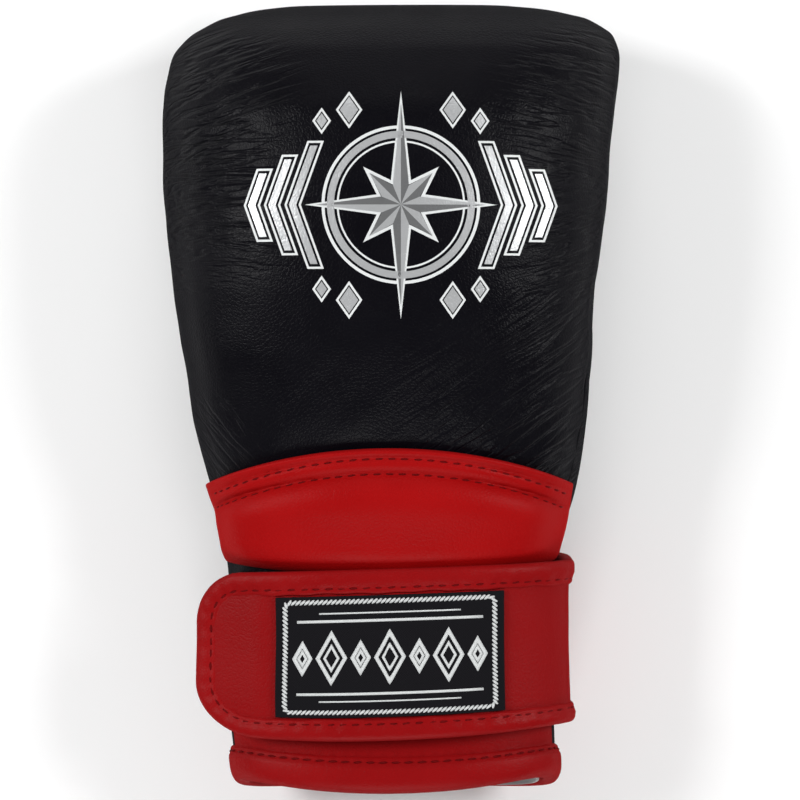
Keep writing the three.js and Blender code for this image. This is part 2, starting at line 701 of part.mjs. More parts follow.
const loopTapeOut = CUFF_PANEL_THICKNESS + 2 * GAP;
const hookTapeOut = loopTapeOut + TAPE_THICKNESS + GAP;

addPiece("back_pad", backPad(), blackLeather);
addPiece("palm_panel", palmPanel(), blackLeather);
addPiece("thumb_binding", thumbBinding(), blackLeather);
addPiece("cuff_base", cuffBase(), blackLeather);
addPiece("wrist_pad", wristPad(), redLeather);
addPiece("cuff_panel", onCuff(cuffPanel(0), GAP), redLeather);
addPiece("cuff_binding", cuffBinding(), redBindingLeather);
addPiece("cuff_lining", cuffLining(), greyLining);
addPiece("loop_tape", tape(LOOP_TAPE_FROM, loopTapeOut), blackFabric);
addPiece("hook_tape", tape(HOOK_TAPE_FROM, hookTapeOut), blackFabric);
addPiece("strap", strapCore(), redLeather);
addPiece("strap_binding", strapBinding(), redBindingLeather);
addPiece("strap_label", strapLabel(), wovenLabel);

// The origin is at the middle of the overall box, on the table.
const box = new THREE.Box3().setFromObject(glove);
const middle = box.getCenter(new THREE.Vector3());
glove.children.forEach((piece) => piece.geometry.translate(-middle.x, -middle.y, -box.min.z));

export default glove;
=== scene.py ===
"""Leather, padding, stitching and stage for an open-thumb bag glove that lies palm down."""
import math
import random

import bmesh
import bpy
import numpy as np
from bpy.props import FloatProperty, FloatVectorProperty, PointerProperty
from mathutils import Matrix, Vector, noise
from mathutils.bvhtree import BVHTree


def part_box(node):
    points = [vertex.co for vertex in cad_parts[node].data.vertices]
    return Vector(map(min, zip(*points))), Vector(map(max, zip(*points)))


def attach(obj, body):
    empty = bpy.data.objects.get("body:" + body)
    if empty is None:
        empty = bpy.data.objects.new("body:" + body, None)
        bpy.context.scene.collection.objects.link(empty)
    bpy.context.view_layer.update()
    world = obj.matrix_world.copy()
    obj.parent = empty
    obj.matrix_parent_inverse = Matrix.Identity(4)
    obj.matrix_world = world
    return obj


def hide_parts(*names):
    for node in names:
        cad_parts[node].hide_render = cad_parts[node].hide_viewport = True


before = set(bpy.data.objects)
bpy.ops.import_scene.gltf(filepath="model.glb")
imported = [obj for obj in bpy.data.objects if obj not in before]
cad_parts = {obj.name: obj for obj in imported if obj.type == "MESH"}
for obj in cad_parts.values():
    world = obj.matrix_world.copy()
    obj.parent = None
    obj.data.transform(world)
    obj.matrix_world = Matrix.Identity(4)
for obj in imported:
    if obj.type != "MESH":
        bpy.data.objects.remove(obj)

bl_info = {
    "name": "Bag Glove",
    "version": (1, 0, 0),
    "blender": (4, 5, 0),
    "location": "3D View > Sidebar > Glove",
    "description": "Padded leather, bindings, strap, print and stitches for a bag glove",
    "category": "Mesh",
}

MM = 0.001

# Sizes in millimetres and turns round the glove in degrees, as the solids have them. The strap and its
# label are up to 2 mm off, to follow the photograph closer.
LENGTH = 270
FINGER_WIDTH = 155.6
WRIST_WIDTH = 109
DEPTH = 91
WRIST_DEPTH = 57
LEATHER = 2.8
GAP = 0.3
PALM_ARCH = 13
LIP_LENGTH = 43
LEFT_CORNER = 36
RIGHT_CORNER = 18
CORNER_REACH = 0.745
CORNER_POWER = 2.5
BACK_ROLL = 54
PALM_ROLL = 31
SEAM_ROLL = 0.16
SEAM_REACH = 0.97
BACK_SQUARENESS = 2.5
PALM_SQUARENESS = 3
SEAM_MARGIN = 0.3
MOUTH_SET_BACK = 3
MOUTH_BOW = 5.5
MOUTH_SKEW = 0.5
MOUTH_FADE = 60
BINDING = 1.3
BINDING_HEIGHT = 14.5
LINING = 1.0
LINING_LENGTH = 58
PANEL = 3.0
PANEL_FROM = 32
PANEL_TO = 151
PANEL_FROM_EDGE = 2.5
TAPE = 1.4
TAPE_WIDTH = 34
LOOP_FROM = 42
HOOK_FROM = 88
TAPES_TO = 125
SLIT_WIDTH = 9
SLIT_LENGTH = 62
SLIT_ACROSS = 4
STRAP_WIDTH = 58.6
STRAP_FROM_MOUTH = 20.2
STRAP = 3.2
STRAP_LOWER_CORNER = 22
STRAP_UPPER_CORNER = 16.5
STRAP_RISE = 0.034
STRAP_BINDING_REACH = 8.3
STRAP_ROOT = -120
STRAP_LEAVES = 127
STRAP_FREE_END = 23.7
LABEL_LENGTH = 72
LABEL = 0.8
PAD_HEIGHT = 38.5
PAD_OVERLAP = 6
PAD_ARC = 150
PAD_LOWER_ARC = 420
PAD_CLEARANCE = 1.8
THUMB_LENGTH = 50
THUMB_WIDTH = 38
THUMB_FROM_TIP = 121
THUMB_ANGLE = -44
THUMB_REACH = 5

# Where the cuff's panel and tapes begin to lift the strap, and over how many degrees
STACK_FROM = 4
STACK_TURN = 27
# How far the folds over the panel's ends run, and where they start past them
FOLD_TURN = 16
FOLD_START = 18
# Rows of stitches on the folded bindings, from the edge of the fold
STRAP_ROW = 2.2
CUFF_ROW = 2.6
# Lines of stitches on the red pad, below its upper edge: under its folded rim and under the sewn strip
PAD_FOLD = 3.8
PAD_STRIP = 8.8
# The middle of the emblem
EMBLEM_X = 3.7
EMBLEM_Y = 64
# A stitch's middle is at least this high over the floor.
LOWEST_STITCH = 0.4

# Places inside the cuff and inside the hand that sheets face away from, in metres
INSIDE_CUFF = Vector((0, -0.085, 0.036))
INSIDE_HAND = Vector((0, -0.02, 0.04))
# Points that are closer than this, in metres, are one: in a grid, and in a copy of a solid
MERGED = 1e-6
CAD_MERGED = 1e-5
CLOTH_FRAMES = 20

SIDE_STACK = BINDING + 2 * GAP
BACK_STACK = PANEL + 2 * TAPE + 4 * GAP
PALM_LIFT = SIDE_STACK + STRAP + BINDING + GAP
WRIST_TOP = PALM_LIFT + WRIST_DEPTH
TIP = LENGTH / 2
MOUTH = -LENGTH / 2
STRAP_MIDDLE = MOUTH + STRAP_FROM_MOUTH + STRAP_WIDTH / 2
STRAP_TOP = STRAP_MIDDLE + STRAP_WIDTH / 2
PAD_LOW = STRAP_TOP + PAD_CLEARANCE
PAD_HIGH = PAD_LOW + PAD_HEIGHT
JOINT = PAD_HIGH - PAD_OVERLAP

# Sections from the mouth to the fingertips, as shares of the length, widths and depths
COLUMNS = ("along", "left", "right", "rise", "waist", "seam", "lift", "arch")
SECTIONS = np.array([
    (0.0, -0.1, 0.1, 0.0, 0.5, 0.55, 1, 0),
    (0.11, 0.02, 0.06, 0.0, 0.5, 0.55, 1, 0),
    (0.22, 0.0, 0.03, 0.01, 0.5, 0.55, 1, 0),
    (0.3, 0.06, 0.07, 0.07, 0.49, 0.55, 1, 0.08),
    (0.385, 0.25, 0.37, 0.34, 0.48, 0.53, 0.6, 0.4),
    (0.475, 0.49, 0.53, 0.64, 0.46, 0.43, 0.25, 0.85),
    (0.555, 0.65, 0.61, 0.84, 0.44, 0.35, 0.05, 1),
    (0.63, 0.78, 0.67, 0.95, 0.43, 0.31, 0, 0.85),
    (0.7, 0.9, 0.76, 1, 0.42, 0.28, 0, 0.5),
    (0.78, 0.99, 0.86, 1, 0.42, 0.26, 0, 0.1),
    (0.855, 1, 0.94, 0.98, 0.42, 0.26, 0, -0.02),
    (0.93, 1, 1, 0.94, 0.42, 0.26, 0, -0.12),
    (1.0, 1, 1, 0.88, 0.42, 0.26, 0, -0.12),
])

# The origin is at the middle of the solids' box, which differs a little from the middle of the sections.
SHIFT = np.array([0.0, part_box("cuff_binding")[0].y / MM - MOUTH, 0.0])


def clamp(value):
    return np.clip(value, 0, 1)


def smooth(value):
    value = clamp(value)
    return value * value * (3 - 2 * value)


def squared(value, power):
    """A sine or cosine bent towards a square, with its sign kept."""
    return np.sign(value) * np.abs(value) ** power


def rounded(inwards, reach, power):
    """0 at an edge and 1 beyond a reach inwards from it, on a rounded curve."""
    return (1 - (1 - clamp(inwards / reach)) ** power) ** (1 / power)


def column(name, along):
    """A smooth curve through one column of the sections."""
    x = SECTIONS[:, 0]
    v = SECTIONS[:, COLUMNS.index(name)]
    slope = np.empty(len(x))
    slope[1:-1] = (v[2:] - v[:-2]) / (x[2:] - x[:-2])
    slope[0] = (v[1] - v[0]) / (x[1] - x[0])
    slope[-1] = (v[-1] - v[-2]) / (x[-1] - x[-2])
    i = np.clip(np.searchsorted(x, along) - 1, 0, len(x) - 2)
    span = x[i + 1] - x[i]
    t = clamp((along - x[i]) / span)
    s = t * t * (3 - 2 * t)
    bend = slope[i] * t * (1 - t) ** 2 - slope[i + 1] * t * t * (1 - t)
    return v[i] + (v[i + 1] - v[i]) * s + span * bend


def section(y):
    """The mitt's outline at y: how far it reaches left and right, and its levels."""
    y = np.asarray(y, float)
    along = (y - MOUTH) / LENGTH
    grow = (FINGER_WIDTH - WRIST_WIDTH) / 2
    bottom = column("lift", along) * PALM_LIFT + column("arch", along) * PALM_ARCH
    top = WRIST_TOP + (DEPTH - WRIST_TOP) * column("rise", along)
    waist = bottom + (top - bottom) * column("waist", along)
    seam = bottom + (top - bottom) * column("seam", along)
    tip = TIP - y
    sides = {}
    for side, reach in (("left", LEFT_CORNER), ("right", RIGHT_CORNER)):
        corner = 1 - CORNER_REACH * (1 - rounded(tip, reach, CORNER_POWER))
        sides[side] = (WRIST_WIDTH / 2 + grow * column(side, along)) * corner
    top = waist + (top - waist) * rounded(tip, BACK_ROLL, 2)
    bottom = waist + (bottom - waist) * rounded(tip, PALM_ROLL, 2)
    return {**sides, "top": top, "bottom": bottom, "waist": waist, "seam": seam}


def around(cut, degrees, out):
    """x and z at an angle round a section, pushed out: 0 is the thumb side and 90 the back."""
    c = np.cos(np.radians(degrees))
    s = np.sin(np.radians(degrees))
    power = np.where(s > 0, 2 / BACK_SQUARENESS, 2 / PALM_SQUARENESS)
    half = np.where(c > 0, cut["right"], cut["left"]) + out
    high = np.where(s > 0, cut["top"] - cut["waist"], cut["waist"] - cut["bottom"]) + out
    return half * squared(c, power), cut["waist"] + high * squared(s, power)


def placed(x, y, z):
    """Metres in the frame, with the back of the cuff's mouth bowed towards the fingers."""
    fade = clamp(1 - (y - MOUTH) / MOUTH_FADE) ** 2
    share = 2 * x / WRIST_WIDTH
    back = smooth((z - PALM_LIFT) / WRIST_DEPTH)
    y = y + fade * back * (MOUTH_SET_BACK + MOUTH_BOW * share * share + MOUTH_SKEW * share)
    return (np.stack(np.broadcast_arrays(x, y, z), -1) + SHIFT) * MM


def skin(degrees, y, out):
    """Points on the mitt's smooth outline, in metres."""
    x, z = around(section(y), degrees, out)
    return placed(x, y, z)


def seam_angle(y, side):
    """The angle where the side seam runs, on the thumb side or on the other."""
    cut = section(y)
    half = cut["right"] if side > 0 else cut["left"]
    above = cut["seam"] + SEAM_ROLL * side * half * SEAM_REACH - cut["waist"]
    over = above > 0
    height = np.where(over, cut["top"] - cut["waist"], cut["waist"] - cut["bottom"])
    power = np.where(over, BACK_SQUARENESS, PALM_SQUARENESS) / 2
    turn = np.degrees(np.arcsin(clamp(np.abs(above) / height) ** power)) * np.where(over, 1, -1)
    return turn if side > 0 else 180 - turn


def arc_at(middle, radius, x):
    """The y of an arc across the hand, whose highest place is the middle."""
    return middle - (radius - np.sqrt(radius * radius - x * x))


def over_panel(degrees):
    """1 where the binding folds over the cuff's panel, and 0 on the palm."""
    turn = np.where(degrees > 270, degrees - 360, degrees)
    start = smooth((turn - PANEL_FROM + FOLD_START) / FOLD_TURN)
    return start * smooth((PANEL_TO + FOLD_START - turn) / FOLD_TURN)


def stack_under(degrees):
    """How far the strap's inner face stands off the leather."""
    return SIDE_STACK + (BACK_STACK - SIDE_STACK) * smooth((degrees - STACK_FROM) / STACK_TURN)


def strap_place(degrees, past, y, out):
    """A point of the strap at an angle, or past the place where its free end leaves the cuff."""
    cut = section(y)
    x, z = around(cut, degrees, stack_under(degrees) + out)
    bx, bz = around(cut, degrees - 1, stack_under(degrees - 1) + out)
    length = np.hypot(x - bx, z - bz)
    return placed(x + (x - bx) / length * past, y, z + (z - bz) / length * past)


class StrapRoute:
    """Turns a length along the strap into an angle round the cuff."""

    def __init__(self):
        self.angles = np.linspace(STRAP_ROOT, STRAP_LEAVES, 400)
        points = strap_place(self.angles, 0, STRAP_MIDDLE, 0) / MM
        steps = np.hypot(np.diff(points[:, 0]), np.diff(points[:, 2]))
        self.lengths = np.concatenate([[0], np.cumsum(steps)])
        self.leaves = self.lengths[-1]
        self.end = self.leaves + STRAP_FREE_END
        self.crown = np.interp(90, self.angles, self.lengths)

    def at(self, along, side, out):
        """A point at a length along the strap, to one side of its middle, out of its inner face."""
        along = np.asarray(along, float)
        y = STRAP_MIDDLE + STRAP_RISE * (self.crown - along) + side
        degrees = np.interp(along, self.lengths, self.angles)
        return strap_place(degrees, np.maximum(along - self.leaves, 0), y, out)

    def reach(self, along, corner, inset):
        """How far the strap reaches to one side, less an inset, with that side's rounded corner."""
        radius = corner - inset
        past = np.clip(along - (self.end - corner), 0, radius)
        return STRAP_WIDTH / 2 - corner + np.sqrt(radius * radius - past * past)


ROUTE = StrapRoute()


def strap_edge(share):
    """Along the strap's upper edge, round its free end and back: a place, and the way inwards."""
    corner_up = STRAP_UPPER_CORNER * math.pi / 2
    corner_low = STRAP_LOWER_CORNER * math.pi / 2
    flat = STRAP_WIDTH - STRAP_UPPER_CORNER - STRAP_LOWER_CORNER
    out = ROUTE.end - STRAP_UPPER_CORNER
    back = ROUTE.end - STRAP_LOWER_CORNER
    total = out + corner_up + flat + corner_low + back
    s = share * total
    first = np.clip((s - out) / STRAP_UPPER_CORNER, 0, math.pi / 2)
    second = np.clip((s - out - corner_up - flat) / STRAP_LOWER_CORNER, 0, math.pi / 2)
    along = np.minimum(s, out) + STRAP_UPPER_CORNER * np.sin(first)
    along -= STRAP_LOWER_CORNER * (1 - np.cos(second))
    along -= np.maximum(s - total + back, 0)
    side = STRAP_WIDTH / 2 - STRAP_UPPER_CORNER * (1 - np.cos(first))
    side -= STRAP_LOWER_CORNER * np.sin(second)
    side -= np.clip(s - out - corner_up, 0, flat)
    return along, side, -np.sin(first + second), -np.cos(first + second)


def new_object(name, bm):
    """An object of a bmesh, in metres, linked to the scene."""
    mesh = bpy.data.meshes.new(name)
    bm.to_mesh(mesh)
    bm.free()
    made = bpy.data.objects.new(name, mesh)
    bpy.context.scene.collection.objects.link(made)
    return made


def finish_piece(piece, material):
    """Gives a piece its material, and lets it ride with the glove."""
    mesh = piece.data
    mesh.materials.clear()
    mesh.materials.append(material)
    for face in mesh.polygons:
        face.use_smooth = True
    # How far each point faces sideways, for the leather's gloss
    facing = mesh.attributes.get("sideways") or mesh.attributes.new("sideways", "FLOAT", "POINT")
    facing.data.foreach_set("value", smooth((0.8 - normals_of(mesh)[:, 2]) / 0.6))
    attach(piece, "root")
    return piece


def new_piece(name, bm, material):
    return finish_piece(new_object(name, bm), material)


def placed_grid(columns, rows, place):
    """A grid whose points are placed by a function of two shares from 0 to 1."""
    bm = bmesh.new()
    bmesh.ops.create_grid(bm, x_segments=columns, y_segments=rows, size=1)
    shares = np.array([v.co[:2] for v in bm.verts]) / 2 + 0.5
    for vert, point in zip(bm.verts, place(shares[:, 0], shares[:, 1])):
        vert.co = point
    return bm


def open_grid(columns, rows, place, inside):
    """An open grid whose faces point away from a place inside the glove."""
    bm = placed_grid(columns, rows, place)
    bmesh.ops.recalc_face_normals(bm, faces=bm.faces)
    faces = list(bm.faces)
    outward = sum((f.calc_center_median() - inside).dot(f.normal) * f.calc_area() for f in faces)
    if outward < 0:
        bmesh.ops.reverse_faces(bm, faces=faces)
    return bm


def rolled_grid(columns, rows, place):
    """A grid rolled into a closed form, with the edges that meet merged and its ends filled."""
    bm = placed_grid(columns, rows, place)
    bmesh.ops.remove_doubles(bm, verts=bm.verts, dist=MERGED)
    ends = [e for e in bm.edges if e.is_boundary]
    if ends:
        bmesh.ops.holes_fill(bm, edges=ends, sides=0)
    left_open = sum(e.is_boundary for e in bm.edges)
    if left_open:
        raise RuntimeError(f"a rolled form is open along {left_open} edges")
    bmesh.ops.recalc_face_normals(bm, faces=bm.faces)
    return bm


def thicken(piece, thickness, offset=-1):
    solidify = piece.modifiers.new("Thickness", "SOLIDIFY")
    solidify.thickness = thickness * MM
    solidify.offset = offset


def sheet(name, columns, rows, place, thickness, material):
    """A panel with its outer face on the grid and its thickness inwards, with rounded edges."""
    bm = open_grid(columns, rows, place, INSIDE_CUFF)
    piece = new_piece(name, bm, material)
    thicken(piece, thickness)
    bevel = piece.modifiers.new("Edge", "BEVEL")
    bevel.width = thickness * MM * 0.3
    bevel.segments = 3
    bevel.limit_method = "ANGLE"
    bevel.angle_limit = math.radians(50)
    return piece


def tube(name, steps, sides, place, material):
    """A folded strip swept along an edge: its profile closes round the second share."""
    return new_piece(name, rolled_grid(steps, sides, place), material)


def copy_of(node, name):
    """A merged copy of a CAD node as a new object."""
    bm = bmesh.new()
    bm.from_mesh(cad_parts[node].data)
    bmesh.ops.remove_doubles(bm, verts=bm.verts, dist=CAD_MERGED)
    return new_object(name, bm)


def applied(piece):
    """Bakes a piece's modifiers into its mesh."""
    evaluated = piece.evaluated_get(bpy.context.evaluated_depsgraph_get())
    mesh = bpy.data.meshes.new_from_object(evaluated)
    piece.modifiers.clear()
    old = piece.data
    piece.data = mesh
    bpy.data.meshes.remove(old)


def coordinates(mesh):
    points = np.empty(len(mesh.vertices) * 3)
    mesh.vertices.foreach_get("co", points)
    return points.reshape(-1, 3)


def set_coordinates(mesh, points):
    mesh.vertices.foreach_set("co", points.ravel())
    mesh.update()


def normals_of(mesh):
    normals = np.empty(len(mesh.vertices) * 3)
    mesh.vertex_normals.foreach_get("vector", normals)
    return normals.reshape(-1, 3)


def remesh(piece, voxel):
    modifier = piece.modifiers.new("Remesh", "REMESH")
    modifier.mode = "VOXEL"
    modifier.voxel_size = voxel * MM
    applied(piece)


def evened(piece, rounds):
    """Evens a mesh out without making it smaller: each step in is followed by one out."""
    mesh = piece.data
    points = coordinates(mesh)
    edges = np.empty(len(mesh.edges) * 2, np.int32)
    mesh.edges.foreach_get("vertices", edges)
    a, b = edges.reshape(-1, 2).T
    count = np.bincount(a, minlength=len(points)) + np.bincount(b, minlength=len(points))
    for step in (0.5, -0.52) * rounds:
        total = np.zeros_like(points)
        for axis in range(3):
            total[:, axis] += np.bincount(a, points[b, axis], len(points))
            total[:, axis] += np.bincount(b, points[a, axis], len(points))
        points += (total / count[:, None] - points) * step
    set_coordinates(mesh, points)


def swollen(piece, pressure, cap, sewn=None):
    """Lets a pad swell under its stuffing as cloth, held where it is sewn, and keeps the result."""
    before = coordinates(piece.data)
    if sewn is not None:
        pins = piece.vertex_groups.new(name="sewn")
        for index in np.nonzero(sewn > 0.05)[0]:
            pins.add([int(index)], float(sewn[index]), "REPLACE")
    cloth = piece.modifiers.new("Cloth", "CLOTH")
    settings = cloth.settings
    settings.quality = 6
    settings.use_pressure = True
    settings.uniform_pressure_force = pressure
    settings.tension_stiffness = 20
    settings.compression_stiffness = 20
    settings.bending_stiffness = 2
    settings.effector_weights.gravity = 0
    if sewn is not None:
        settings.vertex_group_mass = "sewn"
    cloth.point_cache.frame_start = 1
    cloth.point_cache.frame_end = CLOTH_FRAMES
    scene = bpy.context.scene
    for step in range(CLOTH_FRAMES):
        scene.frame_set(step + 1)
    applied(piece)
    scene.frame_set(1)
    moved = coordinates(piece.data) - before
    length = np.linalg.norm(moved, axis=1, keepdims=True)
    moved *= np.minimum(1, cap * MM / np.maximum(length, 1e-9))
    set_coordinates(piece.data, before + moved)


def subdivided(piece):
    modifier = piece.modifiers.new("Subdivision", "SUBSURF")
    modifier.levels = 1
    modifier.render_levels = 1
    applied(piece)


def hills(*axes):
    """Smooth noise at places that are given axis by axis."""
    return np.array([noise.noise(Vector(place)) for place in zip(*axes)])


def surface_tree(name):
    """Finds points on a finished piece from outside."""
    bm = bmesh.new()
    bm.from_object(bpy.data.objects[name], bpy.context.evaluated_depsgraph_get())
    tree = BVHTree.FromBMesh(bm)
    bm.free()
    return tree


def dropped(tree, x, y):
    """The point and normal under x and y, in millimetres, seen from above."""
    start = Vector((x * MM, y * MM, 2 * DEPTH * MM))
    point, normal, _, _ = tree.ray_cast(start, Vector((0, 0, -1)))
    if point is None:
        raise RuntimeError(f"nothing lies under {x:.1f}, {y:.1f}")
    return point, normal


def join(tree, node, inputs):
    """Links each input to an output, or gives it a value."""
    for name, value in inputs.items():
        if isinstance(value, bpy.types.NodeSocket):
            tree.links.new(value, node.inputs[name])
        else:
            node.inputs[name].default_value = value


def add(tree, kind, inputs, **settings):
    """Adds a shader node and returns its outputs."""
    node = tree.nodes.new("ShaderNode" + kind)
    for name, value in settings.items():
        setattr(node, name, value)
    join(tree, node, inputs)
    return node.outputs


def maths(tree, operation, *values, use_clamp=False):
    inputs = dict(enumerate(values))
    return add(tree, "Math", inputs, operation=operation, use_clamp=use_clamp)[0]


def ramp(tree, value, low, high, to_low=0, to_high=1, kind="SMOOTHSTEP"):
    ends = {"From Min": low, "From Max": high, "To Min": to_low, "To Max": to_high}
    return add(tree, "MapRange", {"Value": value, **ends}, interpolation_type=kind)["Result"]


def mapped(tree, vector, scale, turn=0):
    """Turns the coordinates, then stretches them."""
    angles = (0, 0, math.radians(turn))
    turned = add(tree, "Mapping", {"Vector": vector, "Rotation": angles})["Vector"]
    return add(tree, "Mapping", {"Vector": turned, "Scale": scale})["Vector"]


def noise_value(tree, vector, scale, detail=2, roughness=0.5, distortion=0):
    fineness = {"Scale": scale, "Detail": detail, "Roughness": roughness, "Distortion": distortion}
    return add(tree, "TexNoise", {"Vector": vector, **fineness})["Fac"]


def scaled_vector(tree, start):
    """A node group's coordinates times its scale."""
    inputs = {0: start["Vector"], "Scale": start["Scale"]}
    return add(tree, "VectorMath", inputs, operation="SCALE")[0]


def build_grain(tree, start, end):
    """Fine pebbled grain of tanned leather."""
    scaled = scaled_vector(tree, start)
    cells = add(tree, "TexVoronoi", {"Vector": scaled, "Scale": 1}, feature="DISTANCE_TO_EDGE")
    pebbles = ramp(tree, cells["Distance"], 0, 0.25)
    pores = maths(tree, "MULTIPLY", noise_value(tree, scaled, 2.3, detail=4, roughness=0.6), 0.7)
    tree.links.new(maths(tree, "ADD", pebbles, pores), end["Height"])
    tree.links.new(noise_value(tree, start["Vector"], 38, detail=3), end["Blotches"])


def build_creases(tree, start, end):
    """Thin wandering lines where the leather has been bent."""
    cloud = noise_value(tree, start["Vector"], 1, detail=2.5, distortion=0.35)
    away = maths(tree, "ABSOLUTE", maths(tree, "SUBTRACT", cloud, 0.5))
    line = maths(tree, "DIVIDE", away, start["Width"], use_clamp=True)
    tree.links.new(ramp(tree, line, 0, 1), end["Height"])


def build_weave(tree, start, end):
    """Over and under threads of a woven cloth."""
    parts = add(tree, "SeparateXYZ", {0: scaled_vector(tree, start)})
    across = maths(tree, "SINE", parts["X"])
    along = maths(tree, "SINE", parts["Y"])
    over = maths(tree, "MULTIPLY", across, along)
    tree.links.new(maths(tree, "MULTIPLY_ADD", over, 0.5, 0.5), end["Height"])


# Shared effects: what builds each one, its setting and what it puts out
EFFECTS = {
    "Leather grain": (build_grain, "Scale", ("Height", "Blotches")),
    "Leather creases": (build_creases, "Width", ("Height",)),
    "Weave": (build_weave, "Scale", ("Height",)),
}


def effect(tree, name, vector, value):
    """Places a shared node group, which is built the first time, and returns its outputs."""
    build, setting, outputs = EFFECTS[name]
    shared = bpy.data.node_groups.get(name)
    if shared is None:
        shared = bpy.data.node_groups.new(name, "ShaderNodeTree")
        sockets = shared.interface
        sockets.new_socket("Vector", in_out="INPUT", socket_type="NodeSocketVector")
        sockets.new_socket(setting, in_out="INPUT", socket_type="NodeSocketFloat")
        for label in outputs:
            sockets.new_socket(label, in_out="OUTPUT", socket_type="NodeSocketFloat")
        start = shared.nodes.new("NodeGroupInput")
        end = shared.nodes.new("NodeGroupOutput")
        build(shared, start.outputs, end.inputs)
    return add(tree, "Group", {"Vector": vector, setting: value}, node_tree=shared)


def new_material(name):
    """A new material's node tree, its shader and its Object coordinates."""
    material = bpy.data.materials.new(name)
    material.use_nodes = True
    tree = material.node_tree
    return tree, tree.nodes["Principled BSDF"], add(tree, "TexCoord", {})["Object"]


def tint(tree, shader, colour, darker, factor):
    """Base colour that varies between two shades."""
    shades = {"A": (*[c * darker for c in colour], 1), "B": (*colour, 1)}
    mixed = add(tree, "Mix", {"Factor": factor, **shades}, data_type="RGBA")["Result"]
    join(tree, shader, {"Base Color": mixed})


def bumps(tree, shader, layers):
    """Chains bumps: each layer is a height, its strength and its depth in millimetres."""
    below = {}
    for height, strength, depth in layers:
        inputs = {"Height": height, "Strength": strength, "Distance": depth * MM}
        below = {"Normal": add(tree, "Bump", {**inputs, **below})["Normal"]}
    join(tree, shader, below)


def leather_gloss(tree, shader, blotches, low, high, level):
    """Uneven gloss, duller on the sides of the glove than on its top."""
    facing = add(tree, "Attribute", {}, attribute_name="sideways")["Fac"]
    uneven = ramp(tree, blotches, 0.3, 0.7, low, high, "LINEAR")
    dulled = maths(tree, "ADD", uneven, maths(tree, "MULTIPLY", facing, 0.55))
    join(tree, shader, {"Roughness": dulled, "Specular IOR Level": level})


def region(tree, where, centre, reach):
    """1 near a place on the glove and 0 beyond its reach, in millimetres."""
    centre = [c * MM for c in centre]
    reach = [r * MM for r in reach]
    offset = add(tree, "VectorMath", {0: where, 1: centre}, operation="SUBTRACT")[0]
    share = add(tree, "VectorMath", {0: offset, 1: reach}, operation="DIVIDE")[0]
    length = add(tree, "VectorMath", {0: share}, operation="LENGTH")["Value"]
    return ramp(tree, length, 0.55, 1.1, 1, 0)


# Fields of creases: place and reach in millimetres, direction in degrees, how many along, across and
# through a metre, and depth
CREASES = (
    ((-84, 100, 60), (62, 30, 80), 17, (26, 240, 50), 1.6),
    ((-84, 72, 60), (66, 26, 80), 3, (28, 250, 50), 1.6),
    ((-84, 50, 60), (58, 18, 80), -6, (30, 320, 50), 0.8),
    ((84, 96, 60), (60, 34, 80), -9, (34, 310, 50), 1.0),
    ((80, 54, 60), (56, 28, 80), 14, (30, 280, 50), 1.0),
    ((62, 2, 60), (66, 44, 80), 34, (24, 230, 50), 0.9),
    ((-62, -16, 55), (24, 20, 60), -50, (45, 300, 50), 0.5),
)


def black_leather(colour, crease_depth):
    tree, shader, where = new_material("Black leather")
    grain = effect(tree, "Leather grain", where, 850)
    layers = []
    for centre, reach, turn, scale, depth in CREASES:
        lines = effect(tree, "Leather creases", mapped(tree, where, scale, -turn), 0.11)
        mask = region(tree, where, centre, reach)
        kept = maths(tree, "MULTIPLY", maths(tree, "SUBTRACT", lines["Height"], 1.0), mask)
        layers.append((kept, 0.7, crease_depth * depth))
    layers.append((grain["Height"], 0.35, 0.14))
    bumps(tree, shader, layers)
    tint(tree, shader, colour, 0.7, grain["Blotches"])
    leather_gloss(tree, shader, grain["Blotches"], low=0.34, high=0.42, level=0.085)


def red_leather(name, colour, roughness, fineness=750):
    tree, shader, where = new_material(name)
    grain = effect(tree, "Leather grain", where, fineness)
    lines = effect(tree, "Leather creases", mapped(tree, where, (120, 120, 120)), 0.02)
    bumps(tree, shader, ((lines["Height"], 0.25, 0.12), (grain["Height"], 0.3, 0.12)))
    tint(tree, shader, colour, 0.78, grain["Blotches"])
    leather_gloss(
        tree, shader, grain["Blotches"], low=roughness - 0.05, high=roughness + 0.06, level=0.06)


def thread(name, colour):
    tree, shader, where = new_material(name)
    twist = effect(tree, "Weave", where, 9000)
    bumps(tree, shader, ((twist["Height"], 0.4, 0.08),))
    tint(tree, shader, colour, 0.6, noise_value(tree, where, 2500))
    join(tree, shader, {"Roughness": 0.7, "Specular IOR Level": 0.05})


def woven(name, colour):
    tree, shader, where = new_material(name)
    weave = effect(tree, "Weave", where, 7500)
    bumps(tree, shader, ((weave["Height"], 0.5, 0.12),))
    tint(tree, shader, colour, 0.55, weave["Height"])
    join(tree, shader, {"Roughness": 0.85, "Specular IOR Level": 0.1})


def fleece(name, colour):
    tree, shader, where = new_material(name)
    pile = noise_value(tree, where, 1400, detail=4, roughness=0.7)
    bumps(tree, shader, ((pile, 0.6, 0.3),))
    tint(tree, shader, colour, 0.6, pile)
    join(tree, shader, {"Roughness": 0.95, "Sheen Weight": 0.3})


def foil(name, colour, metal, roughness):
    tree, shader, where = new_material(name)
    grain = effect(tree, "Leather grain", where, 850)
    lines = effect(tree, "Leather creases", mapped(tree, where, (20, 150, 60), -4), 0.035)
    bumps(tree, shader, ((lines["Height"], 0.4, 0.1), (grain["Height"], 0.3, 0.1)))
    tint(tree, shader, colour, 0.8, grain["Blotches"])
    join(tree, shader, {"Metallic": metal, "Roughness": roughness})


